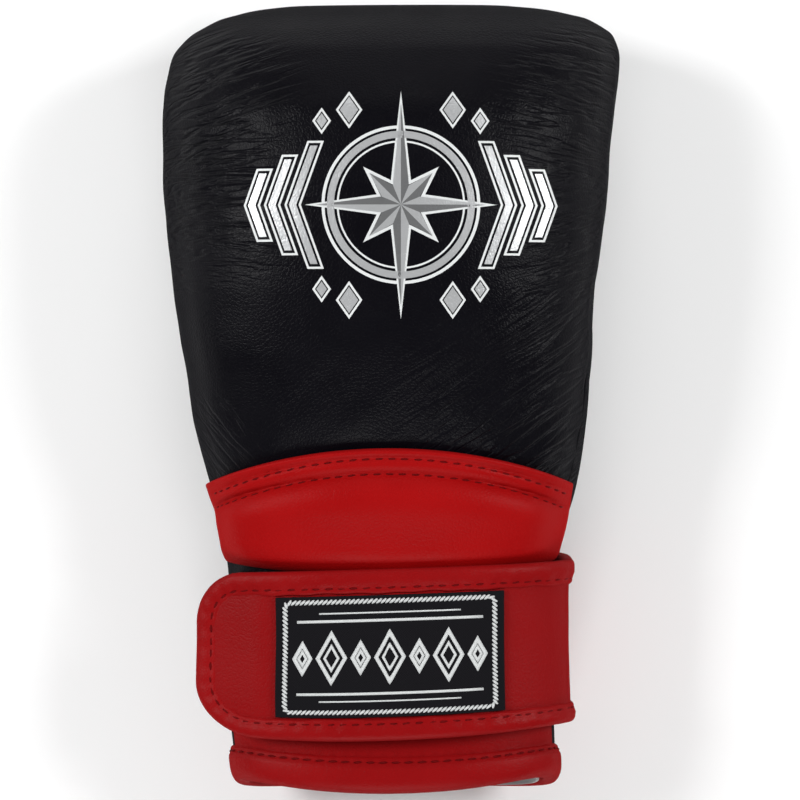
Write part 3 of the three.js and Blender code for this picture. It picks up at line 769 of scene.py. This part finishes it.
def size_property(name, description, default, low, high):
    """A length given in millimetres and kept in metres."""
    return FloatProperty(
        name=name, description=description, default=default * MM, min=low * MM, max=high * MM,
        precision=5, unit="LENGTH")


class GloveSizes(bpy.types.PropertyGroup):
    crease_depth: size_property("Crease depth", "Depth of the leather's creases", 0.6, 0, 2)
    stitch_length: size_property("Stitch length", "Length of one stitch", 3.1, 1, 6)
    stitch_pitch: size_property("Stitch pitch", "Distance between stitches", 4.2, 1.5, 8)
    stitch_width: size_property("Stitch width", "Width of the thread", 0.8, 0.2, 2)
    print_thickness: size_property("Print thickness", "Thickness of the print", 0.12, 0.02, 0.5)


def colour_property(name, description, default):
    return FloatVectorProperty(
        name=name, description=description, default=default, subtype="COLOR", min=0, max=1)


class GloveColours(bpy.types.PropertyGroup):
    black_leather: colour_property("Black leather", "Padding and palm", (0.0026, 0.0023, 0.0042))
    red_leather: colour_property("Red leather", "Padded wrist panel", (0.35, 0.003, 0.0035))
    red_strap: colour_property("Red strap", "Strap and lower panel", (0.25, 0.003, 0.004))
    red_binding: colour_property("Red binding", "Folded edges", (0.27, 0.004, 0.005))
    # The red thread is darker than the red leather it is sewn into: painted shade of the needle holes
    # and of the groove each stitch sits in.
    red_thread_darkened_for_shade: colour_property("Red thread", "Stitches on red", (0.15, 0.003, 0.004))
    label: colour_property("Label", "Ground of the woven label", (0.007, 0.0065, 0.0085))
    white: colour_property("White", "White ink and thread", (0.74, 0.76, 0.76))
    silver: colour_property("Silver", "Silver foil of the emblem", (0.6, 0.61, 0.62))
    lining: colour_property("Lining", "Pale lining at the mouth", (0.36, 0.34, 0.34))
    tape: colour_property("Tape", "Closure tapes under the strap", (0.012, 0.012, 0.013))
    floor: colour_property("Floor", "Pale floor under the glove", (0.98, 0.98, 0.98))


def finishes():
    """The glove's materials, made once."""
    colours = bpy.context.scene.glove_colours
    if "Black leather" not in bpy.data.materials:
        black_leather(colours.black_leather, bpy.context.scene.glove_sizes.crease_depth / MM)
        red_leather("Red leather", colours.red_leather, 0.46)
        red_leather("Strap leather", colours.red_strap, 0.46)
        red_leather("Red binding", colours.red_binding, 0.4, 950)
        # The red thread's dark tone is painted shade along the rows of stitches.
        thread("Red thread", colours.red_thread_darkened_for_shade)
        thread("White thread", colours.white)
        woven("Label ground", colours.label)
        fleece("Lining", colours.lining)
        fleece("Black tape", colours.tape)
        foil("White ink", colours.white, 0, 0.45)
        foil("Silver foil", colours.silver, 0.55, 0.38)
        foil("Dark foil", [c * 0.35 for c in colours.silver], 0.55, 0.4)
    return bpy.data.materials


class GLOVE_OT_back_pad(bpy.types.Operator):
    """Padded back of the hand and fingers, swollen by a cloth simulation"""
    bl_idname = "glove.back_pad"
    bl_label = "Back pad"

    def execute(self, context):
        piece = copy_of("back_pad", "back_padding")
        remesh(piece, voxel=2.4)
        evened(piece, rounds=14)
        shrink = 0.4
        points = coordinates(piece.data)
        set_coordinates(piece.data, points - normals_of(piece.data) * shrink * MM)
        swollen(piece, pressure=3.0, cap=1.6)
        evened(piece, rounds=6)
        subdivided(piece)
        points = coordinates(piece.data)
        x, y, z = points.T / MM
        points += normals_of(piece.data) * self.waves(x, y, z)[:, None] * MM
        # The remesh rounds the finger end off, so its two sides are drawn out again.
        points[:, 0] += smooth((x - 20) / 40) * smooth((y - 10) / 60) * 1.5 * MM
        points[:, 0] -= smooth((-x - 20) / 40) * smooth((y - 106) / 20) * 2.2 * MM
        points[:, 2] = np.maximum(points[:, 2], 0)
        set_coordinates(piece.data, points)
        finish_piece(piece, finishes()["Black leather"])
        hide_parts("back_pad")
        return {"FINISHED"}

    def waves(self, x, y, z):
        """Shallow waves where the sides and the base of the hand bend, in millimetres."""
        side = smooth((np.abs(x) - 38) / 30) * hills(x * 0.02, y * 0.085, z * 0.02)
        low = smooth((40 - y) / 50) * hills((x + y) * 0.02 + 40, (y - x) * 0.075, z * 0.02)
        return (side * 0.4 + low * 0.5) * smooth((z - 22) / 20)


class GLOVE_OT_palm(bpy.types.Operator):
    """Thin palm leather with its wrist slit, the black cuff and the bound thumb hole"""
    bl_idname = "glove.palm"
    bl_label = "Palm and cuff leather"

    def execute(self, context):
        leather = finishes()["Black leather"]
        first = MOUTH + BINDING + GAP
        last = TIP - LIP_LENGTH - GAP / 2
        thumb_y = TIP - THUMB_FROM_TIP
        step = skin(THUMB_ANGLE + 1, thumb_y, 0) - skin(THUMB_ANGLE, thumb_y, 0)
        rate = np.linalg.norm(step) / MM

        def palm(u, v):
            y = first + (last - first) * v
            start = seam_angle(y, -1) + SEAM_MARGIN
            end = 360 + seam_angle(y, 1) - SEAM_MARGIN
            # Both edges tuck in under the padding, beyond the wrist.
            near = np.minimum(u, 1 - u) * (end - start) * 0.9
            tuck = -1.6 * np.exp(-(near / 3.5) ** 2) * smooth((y - JOINT + 36) / 14)
            return skin(start + (end - start) * u, y, tuck)

        bm = open_grid(110, 120, palm, INSIDE_HAND)
        self.cut_slit(bm)
        self.cut_thumb(bm, thumb_y, rate)
        piece = new_piece("palm_leather", bm, leather)
        thicken(piece, LEATHER)
        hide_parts("palm_panel")

        def cuff(u, v):
            half = WRIST_WIDTH / 2
            y = first + (arc_at(JOINT - GAP, PAD_ARC, half * (2 * u - 1)) - first) * v
            start = seam_angle(y, 1) + SEAM_MARGIN
            end = seam_angle(y, -1) - SEAM_MARGIN
            return skin(start + (end - start) * (1 - u), y, 0)

        piece = sheet("cuff_leather", 60, 60, cuff, LEATHER, leather)
        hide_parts("cuff_base")
        self.bind_thumb(thumb_y, rate, leather)
        return {"FINISHED"}

    def cut_slit(self, bm):
        """Opens the slit under the wrist and straightens its edges."""
        half = SLIT_WIDTH / 2

        def away(place):
            """How far a place is from the slit's middle line, endless past its end and on the back."""
            if place.y / MM < MOUTH + SLIT_LENGTH and place.z < 0.03:
                return place.x / MM - SLIT_ACROSS
            return math.inf

        cut = [f for f in bm.faces if abs(away(f.calc_center_median())) < half]
        bmesh.ops.delete(bm, geom=cut, context="FACES")
        near = 1.5
        for vert in bm.verts:
            across = away(vert.co)
            if vert.is_boundary and abs(abs(across) - half) < near:
                vert.co.x = (SLIT_ACROSS + math.copysign(half, across)) * MM

    def cut_thumb(self, bm, thumb_y, rate):
        """Opens the thumb hole, a little wider than its binding's inner edge."""
        margin = 2.4
        angles = np.linspace(THUMB_ANGLE - 44, THUMB_ANGLE + 44, 177)
        cut = []
        for face in bm.faces:
            middle = face.calc_center_median()
            y = middle.y / MM - SHIFT[1]
            along = (y - thumb_y) / (THUMB_LENGTH / 2 + margin)
            if abs(along) < 1 and middle.x > 0:
                away = np.linalg.norm(skin(angles, y, 0) - np.array(middle), axis=1)
                side = (angles[np.argmin(away)] - THUMB_ANGLE) * rate / (THUMB_WIDTH / 2 + margin)
                if side * side + along * along < 1:
                    cut.append(face)
        bmesh.ops.delete(bm, geom=cut, context="FACES")

    def bind_thumb(self, thumb_y, rate, material):
        """A folded edge round the thumb hole, over both faces of the palm leather."""
        thick = LEATHER / 2 + GAP + BINDING
        reach = (THUMB_REACH + GAP + BINDING) / 2
        middle = reach - GAP - BINDING

        def place(u, v):
            turn = 2 * np.pi * u
            profile = 2 * np.pi * v
            inward = reach * squared(np.cos(profile), 0.7)
            out = thick * squared(np.sin(profile), 0.7) - LEATHER / 2
            side = (THUMB_WIDTH / 2 + middle + inward) * np.cos(turn)
            along = (THUMB_LENGTH / 2 + middle + inward) * np.sin(turn)
            return skin(THUMB_ANGLE + side / rate, thumb_y + along, out)

        piece = tube("thumb_edge", 120, 20, place, material)
        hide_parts("thumb_binding")


class GLOVE_OT_cuff(bpy.types.Operator):
    """Red panel, folded binding and lining at the mouth, and the closure tapes"""
    bl_idname = "glove.cuff"
    bl_label = "Cuff"

    def execute(self, context):
        materials = finishes()
        low = MOUTH + BINDING + GAP + PANEL_FROM_EDGE
        high = STRAP_TOP - PANEL_FROM_EDGE

        def panel(u, v):
            edge = rounded(np.minimum(u, 1 - u), 0.05, 2) * rounded(np.minimum(v, 1 - v), 0.06, 2)
            degrees = PANEL_TO + 6 + (PANEL_FROM - PANEL_TO - 15) * u
            return skin(degrees, low + (high - low) * v, GAP + PANEL * (0.55 + 0.45 * edge))

        red = materials["Strap leather"]
        piece = sheet("cuff_red_panel", 90, 60, panel, PANEL * 0.55, red)
        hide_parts("cuff_panel")

        slit_left = np.degrees(np.arccos(0.5 * SLIT_WIDTH / (WRIST_WIDTH / 2)))

        def round_mouth(u, start, less):
            """The angle at a share of the way round the mouth, from slit to slit."""
            return -slit_left + start + (360 - 2 * (90 - slit_left) - less) * u

        def binding(u, v):
            degrees = round_mouth(u, 3.2, 2.4)
            outer = GAP + BINDING + (PANEL + GAP) * over_panel(degrees) + 0.4
            inner = -(LEATHER + LINING + 2 * GAP + BINDING)
            profile = 2 * np.pi * v
            outside = np.sin(profile) > 0
            out = (outer + inner) / 2 + (outer - inner) / 2 * squared(np.sin(profile), 0.62)
            half = BINDING_HEIGHT / 2
            y = MOUTH + half - half * squared(np.cos(profile), 0.75)
            # The row of stitches draws the folded strip in near its upper edge.
            row = np.exp(-((y - MOUTH - BINDING_HEIGHT + CUFF_ROW) / 1.1) ** 2) * outside
            pucker = 0.12 * np.sin(degrees * 3.1) * np.sin(degrees * 1.3 + 1) * outside
            return skin(degrees, y, out - 0.55 * row + pucker)

        piece = tube("cuff_red_edge", 260, 40, binding, materials["Red binding"])
        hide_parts("cuff_binding")

        def lining(u, v):
            degrees = round_mouth(u, 3.6, 3.2)
            left = smooth((degrees - 150) / 20) * smooth((268 - degrees) / 15)
            start = 0.6 + 5 * left
            y = MOUTH + start + (LINING_LENGTH - start) * v
            under = smooth((MOUTH + BINDING_HEIGHT + 1.5 - y) / 3)
            return skin(degrees, y, -LEATHER - GAP - (BINDING + LINING + 0.35) * under)

        piece = sheet("cuff_cloth", 140, 24, lining, LINING, materials["Lining"])
        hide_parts("cuff_lining")
        self.tape("closure_loops", "loop_tape", LOOP_FROM, PANEL + 2 * GAP)
        self.tape("closure_hooks", "hook_tape", HOOK_FROM, PANEL + 3 * GAP + TAPE)
        return {"FINISHED"}

    def tape(self, name, node, start, out):
        def place(u, v):
            degrees = TAPES_TO + (start - TAPES_TO) * u
            return skin(degrees, STRAP_MIDDLE + TAPE_WIDTH * (v - 0.5), out + TAPE)

        piece = sheet(name, 50, 20, place, TAPE, finishes()["Black tape"])
        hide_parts(node)


def pad_height(below, width, roll):
    """The red pad's height at a distance below its upper edge: a rim, a sewn strip and a pillow."""
    base = 2.1 * rounded(below, 1.2, 2)
    half = PAD_FOLD / 2
    fold = 1.2 * clamp(1 - ((below - half) / half) ** 2)
    half = (PAD_STRIP - PAD_FOLD) / 2
    strip = 1.7 * np.sqrt(clamp(1 - ((below - PAD_FOLD - half) / half) ** 2))
    across = clamp((below - PAD_STRIP) / (width - PAD_STRIP))
    pillow = 6.9 * (1 - (1 - clamp(across / 0.42)) ** 2.2) ** 0.7
    above = np.where(below < PAD_FOLD, fold, np.where(below < PAD_STRIP, strip, pillow))
    return (base + above) * rounded(width - below, roll, 2)


class GLOVE_OT_wrist_pad(bpy.types.Operator):
    """Red padded panel over the base of the hand, swollen by a cloth simulation"""
    bl_idname = "glove.wrist_pad"
    bl_label = "Wrist pad"

    def execute(self, context):
        middle = (PAD_LOW + PAD_HIGH) / 2
        start = seam_angle(middle, 1) + 1

        def rows(u, v):
            degrees = start + (180 - start) * u
            x = around(section(middle), degrees, 0)[0]
            lower = PAD_LOW - 5.0 + PAD_LOWER_ARC - np.sqrt(PAD_LOWER_ARC ** 2 - x * x)
            upper = arc_at(PAD_HIGH, PAD_ARC, x)
            below = (upper - lower) * (1 - np.abs(2 * v - 1))
            inwards = np.minimum(u, 1 - u)
            flank = smooth(inwards / np.where(u < 0.5, 0.22, 0.3))
            roll = 4 + 5 * flank
            # Both ends are flat, so that they make a straight outline.
            flat = np.where(u < 0.5, 1.8 + 2.4 * smooth(below / 20), 1.8 - 1.7 * smooth(below / 16))
            flat *= rounded(below, 1.2, 2) * rounded(upper - lower - below, roll, 2)
            out = pad_height(below, upper - lower, roll) * flank + flat * (1 - flank)
            out *= rounded(inwards, 0.02, 2) * (v < 0.5)
            return skin(degrees, upper - below, GAP + out)

        piece = tube("wrist_padding", 150, 120, rows, finishes()["Red leather"])
        swollen(piece, pressure=2.0, cap=0.7, sewn=self.sewn(piece.data))
        subdivided(piece)
        finish_piece(piece, finishes()["Red leather"])
        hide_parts("wrist_pad")
        return {"FINISHED"}

    def sewn(self, mesh):
        """How firmly each point is held: 1 on the rows of stitches, the edges and the inner face."""
        x, y, _ = coordinates(mesh).T / MM
        below = arc_at(PAD_HIGH, PAD_ARC, x) + SHIFT[1] - y
        rows = np.exp(-((below - 3.7) / 0.7) ** 2) + np.exp(-((below - PAD_STRIP) / 0.8) ** 2)
        ends = smooth((PAD_LOW + 6 + SHIFT[1] - y) / 6) + smooth((np.abs(x) - 48) / 6)
        upper = normals_of(mesh)[:, 2] > 0.2
        return np.where(upper, clamp(rows + ends + (below < 0.5)), 1)


class GLOVE_OT_strap(bpy.types.Operator):
    """Strap round the wrist, with its folded binding and rounded free end"""
    bl_idname = "glove.strap"
    bl_label = "Strap"

    def execute(self, context):
        materials = finishes()
        inset = BINDING + GAP

        def face(u, v):
            along = (ROUTE.end - inset) * u
            lower = ROUTE.reach(along, STRAP_LOWER_CORNER, inset)
            upper = ROUTE.reach(along, STRAP_UPPER_CORNER, inset)
            side = (lower + upper) * v - lower
            crown = 1 - (2 * v - 1) ** 4
            free = smooth((along - ROUTE.crown - LABEL_LENGTH / 2) / 8)
            return ROUTE.at(along, side, STRAP + 0.9 * crown * free)

        red = materials["Strap leather"]
        piece = sheet("strap_leather", 220, 40, face, STRAP - 0.2, red)
        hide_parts("strap")

        def binding(u, v):
            along, side, in_along, in_side = strap_edge(u)
            profile = 2 * np.pi * v
            wobble = 0.35 * np.sin(u * 211) * np.sin(u * 97 + 2)
            reach = (STRAP_BINDING_REACH + wobble) / 2
            inward = reach - reach * squared(np.cos(profile), 0.7)
            thick = STRAP / 2 + BINDING + GAP
            out = STRAP / 2 + thick * squared(np.sin(profile), 0.6)
            outside = np.sin(profile) > 0
            row = np.exp(-((inward - STRAP_BINDING_REACH + STRAP_ROW) / 0.9) ** 2) * outside
            pucker = 0.16 * np.sin(u * 530) * np.exp(-((inward - 5.0) / 2.2) ** 2) * outside
            out = out - 0.5 * row + pucker
            points = ROUTE.at(along + in_along * inward, side + in_side * inward, out)
            points[..., 2] = np.maximum(points[..., 2], 0)
            return points

        piece = tube("strap_edge", 520, 32, binding, materials["Red binding"])
        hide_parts("strap_binding")
        return {"FINISHED"}


class GLOVE_OT_label(bpy.types.Operator):
    """Woven label on the strap, with a corded border and a band of lozenges"""
    bl_idname = "glove.label"
    bl_label = "Woven label"

    def execute(self, context):
        half_width = STRAP_WIDTH / 2 - STRAP_BINDING_REACH - GAP
        face = STRAP + GAP + LABEL

        def ground(u, v):
            along = ROUTE.crown + LABEL_LENGTH * (u - 0.5)
            return ROUTE.at(along, half_width * (2 * v - 1), face)

        material = finishes()["Label ground"]
        piece = sheet("label_cloth", 110, 60, ground, LABEL, material)
        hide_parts("strap_label")
        self.cord_border(LABEL_LENGTH / 2 - 3.2, half_width - 1.9, face + 0.1)
        self.lozenges(face + 0.12)
        return {"FINISHED"}

    def lay(self, name, bm, out):
        """Lays flat shapes, in millimetres, on the strap as white thread."""
        for vert in bm.verts:
            x, y, z = vert.co
            vert.co = Vector(ROUTE.at(ROUTE.crown - x, y, out + z))
        bmesh.ops.recalc_face_normals(bm, faces=bm.faces)
        return new_piece(name, bm, finishes()["White thread"])

    def cord_border(self, half_length, half_width, out):
        """Slanting wound stitches that read as a cord, round a rectangle with rounded corners."""
        radius = 1.8
        pitch = 1.4
        a = half_length - radius
        b = half_width - radius
        path = []
        for quarter, (x, y) in enumerate(((a, b), (-a, b), (-a, -b), (a, -b))):
            for step in range(9):
                turn = math.radians(90 * quarter + 90 * step / 8)
                path.append((x + radius * math.cos(turn), y + radius * math.sin(turn)))
        path.append(path[0])
        bm = bmesh.new()
        for x, y, dx, dy in spaced(path, pitch):
            slant = math.atan2(dy, dx) + math.radians(42)
            turn = Matrix.Rotation(slant, 3, "Z")
            verts = bmesh.ops.create_icosphere(bm, subdivisions=1, radius=1)["verts"]
            bmesh.ops.scale(bm, vec=(1.4, 0.5, 0.36), verts=verts)
            bmesh.ops.rotate(bm, matrix=turn, verts=verts)
            bmesh.ops.translate(bm, vec=(x, y, 0), verts=verts)
        self.lay("label_cord", bm, out)

    def lozenges(self, out):
        """A band of nested lozenges between thin lines."""
        bm = bmesh.new()
        for index in range(-3, 4):
            size = 5.2 if index % 2 else 8.0
            self.lozenge(bm, index * 9.1, size, 1.2)
            self.lozenge(bm, index * 9.1, size * 0.52, 0.8)
        for half, level, width in ((29, 12.4, 0.9), (22, 15, 0.5)):
            self.bar(bm, half, -level, width)
            self.bar(bm, half, level, width)
        long = [e for e in bm.edges if e.calc_length() > 3]
        bmesh.ops.subdivide_edges(bm, edges=long, cuts=12, use_grid_fill=True)
        thicken(self.lay("label_lozenges", bm, out), 0.3, 0)

    def lozenge(self, bm, x, size, line):
        """An outlined lozenge: a four-sided circle, inset, with its middle open."""
        verts = bmesh.ops.create_circle(bm, cap_ends=True, segments=4, radius=size)["verts"]
        bmesh.ops.scale(bm, vec=(0.62, 1.18, 1), verts=verts)
        bmesh.ops.translate(bm, vec=(x, 0, 0), verts=verts)
        outline(bm, verts, line)

    def bar(self, bm, half, level, width):
        verts = bmesh.ops.create_grid(bm, x_segments=1, y_segments=1, size=1)["verts"]
        bmesh.ops.scale(bm, vec=(half, width / 2, 1), verts=verts)
        bmesh.ops.translate(bm, vec=(0, level, 0), verts=verts)


def outline(bm, verts, width):
    """Keeps a flat shape's outline alone."""
    faces = list({face for vert in verts for face in vert.link_faces})
    bmesh.ops.inset_region(
        bm, faces=faces, thickness=width, use_boundary=True, use_even_offset=True)
    bmesh.ops.delete(bm, geom=faces, context="FACES")


def lengths_along(points):
    """The length of the way to each point of a path."""
    steps = np.linalg.norm(np.diff(points, axis=0), axis=1)
    return np.concatenate([[0], np.cumsum(steps)])


def spaced(path, pitch):
    """Places at even distances along a path of points, each with its direction."""
    points = np.array(path, float)
    lengths = lengths_along(points)
    count = round(lengths[-1] / pitch)
    at = (np.arange(count) + 0.5) * lengths[-1] / count
    x = np.interp(at, lengths, points[:, 0])
    y = np.interp(at, lengths, points[:, 1])
    index = np.searchsorted(lengths, at) - 1
    return zip(x, y, *np.diff(points, axis=0)[index].T)


class GLOVE_OT_emblem(bpy.types.Operator):
    """Printed compass star between chevrons on the back of the hand"""
    bl_idname = "glove.emblem"
    bl_label = "Printed emblem"

    def execute(self, context):
        tree = surface_tree("back_padding")
        lift = context.scene.glove_sizes.print_thickness / MM
        white = bmesh.new()
        silver = bmesh.new()
        dark = bmesh.new()
        for bm, radius, width in ((white, 26, 1), (silver, 24.2, 2.3), (white, 21, 0.6)):
            ring = bmesh.ops.create_circle(bm, cap_ends=True, segments=96, radius=radius)
            outline(bm, ring["verts"], width)
        outline(white, self.star(white, 37.5, 8.6, 17.5), 1)
        self.star_halves(silver, dark)
        for side in (-1, 1):
            for x, height in ((35.5, 21), (42.3, 16.5), (49, 12)):
                outline(white, self.chevron(white, side * x, height, 5.4, side), 0.7)
                self.chevron(silver, side * x, height - 1.6, 2.4, side)
            for level in (-1, 1):
                for x, size in ((17, 6.2), (26, 4.4)):
                    spot = (side * x, level * (38 - 0.4 * x))
                    outline(white, self.lozenge(white, *spot, size), 0.7)
                    self.lozenge(silver, *spot, size - 1.9)
        self.print_layer("emblem_white", white, tree, lift, "White ink")
        self.print_layer("emblem_silver", silver, tree, 2 * lift, "Silver foil")
        self.print_layer("emblem_dark", dark, tree, 2 * lift, "Dark foil")
        return {"FINISHED"}

    def star(self, bm, long, inner, short, in_facets=False):
        """Eight points, the four long ones upright and across, and these a little shorter."""
        verts = bmesh.ops.create_circle(
            bm, cap_ends=True, cap_tris=in_facets, segments=16, radius=1)["verts"]
        for vert in verts:
            if vert.co.length > 0.5:
                step = round(math.degrees(math.atan2(vert.co.y, vert.co.x)) / 22.5) % 16
                reach = inner if step % 2 else (long if step % 4 == 0 else short)
                reach *= 0.84 if step % 8 == 0 else 1
                vert.co = vert.co.normalized() * reach
        return verts

    def star_halves(self, silver, dark):
        """The star's facets, alternately light and dark."""
        for bm, odd in ((silver, 0), (dark, 1)):
            verts = self.star(bm, 33, 6.8, 14.6, in_facets=True)
            centre = min(verts, key=lambda v: v.co.length)
            drop = []
            for face in centre.link_faces:
                middle = face.calc_center_median()
                step = int(math.degrees(math.atan2(middle.y, middle.x)) // 22.5) % 2
                if step != odd:
                    drop.append(face)
            bmesh.ops.delete(bm, geom=drop, context="FACES")

    def chevron(self, bm, x, height, width, side):
        """A bent bar that points outwards."""
        verts = bmesh.ops.create_grid(bm, x_segments=1, y_segments=2, size=1)["verts"]
        for vert in verts:
            u, v, _ = vert.co
            vert.co = (x + u * width / 2 - side * abs(v) * 0.36 * height, v * height, 0)
        return verts

    def lozenge(self, bm, x, y, size):
        verts = bmesh.ops.create_circle(bm, cap_ends=True, segments=4, radius=size)["verts"]
        bmesh.ops.scale(bm, vec=(0.7, 1, 1), verts=verts)
        bmesh.ops.translate(bm, vec=(x, y, 0), verts=verts)
        return verts

    def print_layer(self, name, bm, tree, lift, material):
        """Lays flat shapes, in millimetres, on the padding as a thin film."""
        bmesh.ops.triangulate(bm, faces=bm.faces)
        for _ in range(5):
            long = [e for e in bm.edges if e.calc_length() > 2.2]
            if not long:
                break
            bmesh.ops.subdivide_edges(bm, edges=long, cuts=1)
            bmesh.ops.triangulate(bm, faces=bm.faces)
        for vert in bm.verts:
            point, normal = dropped(tree, vert.co.x + EMBLEM_X, vert.co.y + EMBLEM_Y)
            vert.co = point + normal * lift * MM
        bmesh.ops.recalc_face_normals(bm, faces=bm.faces)
        if sum(f.normal.z for f in bm.faces) < 0:
            bmesh.ops.reverse_faces(bm, faces=bm.faces)
        piece = new_piece(name, bm, finishes()[material])
        thicken(piece, lift)
        applied(piece)
        piece.data.set_sharp_from_angle(angle=math.radians(40))


class GLOVE_OT_stitches(bpy.types.Operator):
    """Rows of thread on the red panel, the strap's binding and the cuff's binding"""
    bl_idname = "glove.stitches"
    bl_label = "Stitches"

    def execute(self, context):
        sizes = context.scene.glove_sizes
        self.pitch = sizes.stitch_pitch / MM
        self.half = sizes.stitch_length / MM / 2
        self.radius = sizes.stitch_width / MM / 2
        pad = surface_tree("wrist_padding")
        self.pad_row("pad_stitches_upper", pad, below=3.75, reach=59.5)
        self.pad_row("pad_stitches_lower", pad, below=PAD_STRIP, reach=58.5)
        self.strap_row()
        self.cuff_row()
        return {"FINISHED"}

    def sew(self, name, points, normals):
        """Stitches end to end along a path in millimetres, each a little out of line."""
        lengths = lengths_along(points)
        count = int(lengths[-1] / self.pitch)

        def place(at, values):
            return np.array([np.interp(at, lengths, values[:, axis]) for axis in range(3)])

        rng = random.Random(7)
        bm = bmesh.new()
        for i in range(count):
            at = (i + 0.5) * lengths[-1] / count + rng.uniform(-0.15, 0.15)
            start = place(at - self.half, points)
            end = place(at + self.half, points)
            middle = Vector((start + end) / 2)
            middle.z = max(middle.z, LOWEST_STITCH)
            along = Vector(end - start).normalized()
            across = Vector(place(at, normals)).normalized().cross(along).normalized()
            turn = Matrix((along, across, along.cross(across))).transposed()
            turn = turn @ Matrix.Rotation(rng.uniform(0, 0.14), 3, "Z")
            verts = bmesh.ops.create_icosphere(bm, subdivisions=1, radius=1)["verts"]
            bmesh.ops.scale(bm, vec=(self.half, self.radius, self.radius * 0.8), verts=verts)
            bmesh.ops.rotate(bm, matrix=turn, verts=verts)
            bmesh.ops.translate(bm, vec=middle, verts=verts)
        bmesh.ops.scale(bm, vec=(MM, MM, MM), verts=bm.verts)
        new_piece(name, bm, finishes()["Red thread"])

    def pad_row(self, name, pad, below, reach):
        """A row at a distance below the pad's upper edge, reaching out to both sides."""
        points = []
        normals = []
        for x in np.linspace(-reach, reach, 120):
            y = arc_at(PAD_HIGH, PAD_ARC, x) - below + SHIFT[1]
            point, normal = dropped(pad, x, y)
            points.append(np.array(point) / MM)
            normals.append(normal)
        self.sew(name, np.array(points), np.array(normals))

    def strap_row(self):
        along, side, in_along, in_side = strap_edge(np.linspace(0.02, 0.98, 700))
        inward = STRAP_BINDING_REACH - STRAP_ROW
        out = STRAP + BINDING + GAP - 0.62
        at = (along + in_along * inward, side + in_side * inward)
        points = ROUTE.at(*at, out) / MM
        self.sew("strap_stitches", points, ROUTE.at(*at, out + 1) / MM - points)

    def cuff_row(self):
        degrees = np.linspace(-78, 258, 500)
        out = GAP + BINDING + (PANEL + GAP) * over_panel(degrees) - 0.32
        y = MOUTH + BINDING_HEIGHT - CUFF_ROW
        points = skin(degrees, y, out) / MM
        self.sew("cuff_stitches", points, skin(degrees, y, out + 1) / MM - points)


# Lights: name, place and target in metres, width, and power in watts
LIGHTS = (
    ("left", (-1.2, 0.35, 1.15), (0, 0.05, 0.05), 0.6, 20),
    ("right", (1.2, 0.35, 1.1), (0, 0.05, 0.05), 0.6, 17),
    ("beyond", (0, 1.5, 0.9), (0, 0.1, 0.05), 0.8, 4),
    ("near", (0, -1.6, 1), (0, 0, 0.05), 0.8, 16),
)
# The camera, in metres, and its sensor in millimetres: the picture's pixels are given as they lie at
# about half the glove's height.
CAMERA_PLACE = (0.0034, 0, 1.3)
OVER_GLOVE = 1.26
SENSOR = 36
PICTURE_SIDE = 800
PIXEL = 0.0003413


class GLOVE_OT_stage(bpy.types.Operator):
    """Pale floor, soft studio light and the camera above the glove"""
    bl_idname = "glove.stage"
    bl_label = "Stage"

    def execute(self, context):
        scene = context.scene
        bm = bmesh.new()
        bmesh.ops.create_grid(bm, x_segments=4, y_segments=4, size=3)
        floor = new_object("floor", bm)
        tree, shader, where = new_material("Floor")
        tint(tree, shader, scene.glove_colours.floor, 0.98, noise_value(tree, where, 6))
        join(tree, shader, {"Roughness": 0.9, "Specular IOR Level": 0.1})
        floor.data.materials.append(bpy.data.materials["Floor"])
        self.world(scene)
        for settings in LIGHTS:
            self.light(*settings)
        self.camera(scene)
        return {"FINISHED"}

    def world(self, scene):
        world = bpy.data.worlds.new("Studio")
        world.use_nodes = True
        background = world.node_tree.nodes["Background"]
        background.inputs["Color"].default_value = (1, 1, 1, 1)
        background.inputs["Strength"].default_value = 0.12
        scene.world = world
        scene.view_settings.view_transform = "Standard"

    def light(self, name, place, target, size, power):
        data = bpy.data.lights.new(name, "AREA")
        data.size = size
        data.energy = power
        lamp = bpy.data.objects.new(name, data)
        bpy.context.scene.collection.objects.link(lamp)
        lamp.location = place
        lamp.rotation_euler = (Vector(target) - Vector(place)).to_track_quat("-Z", "Y").to_euler()

    def camera(self, scene):
        """Straight above, with the fingers towards the top of the picture."""
        data = bpy.data.cameras.new("camera")
        data.sensor_width = SENSOR
        data.lens = SENSOR * OVER_GLOVE / (PICTURE_SIDE * PIXEL)
        data.clip_end = 20
        camera = bpy.data.objects.new("camera", data)
        scene.collection.objects.link(camera)
        camera.location = CAMERA_PLACE
        scene.camera = camera


PIECES = (
    GLOVE_OT_back_pad,
    GLOVE_OT_palm,
    GLOVE_OT_cuff,
    GLOVE_OT_wrist_pad,
    GLOVE_OT_strap,
    GLOVE_OT_label,
    GLOVE_OT_emblem,
    GLOVE_OT_stitches,
    GLOVE_OT_stage,
)


class GLOVE_PT_panel(bpy.types.Panel):
    """Sizes, colours and pieces of the glove"""
    bl_label = "Bag glove"
    bl_idname = "GLOVE_PT_panel"
    bl_space_type = "VIEW_3D"
    bl_region_type = "UI"
    bl_category = "Glove"

    def draw(self, context):
        for settings in (context.scene.glove_sizes, context.scene.glove_colours):
            for name in settings.__annotations__:
                self.layout.prop(settings, name)
        for piece in PIECES:
            self.layout.operator(piece.bl_idname)


CLASSES = (GloveSizes, GloveColours, *PIECES, GLOVE_PT_panel)


def register():
    for each in CLASSES:
        bpy.utils.register_class(each)
    bpy.types.Scene.glove_sizes = PointerProperty(type=GloveSizes)
    bpy.types.Scene.glove_colours = PointerProperty(type=GloveColours)


def unregister():
    del bpy.types.Scene.glove_sizes
    del bpy.types.Scene.glove_colours
    for each in reversed(CLASSES):
        bpy.utils.unregister_class(each)


def main():
    register()
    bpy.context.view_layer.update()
    for piece in PIECES:
        name = piece.bl_idname.split(".")[1]
        getattr(bpy.ops.glove, name)()


if __name__ == "__main__":
    main()
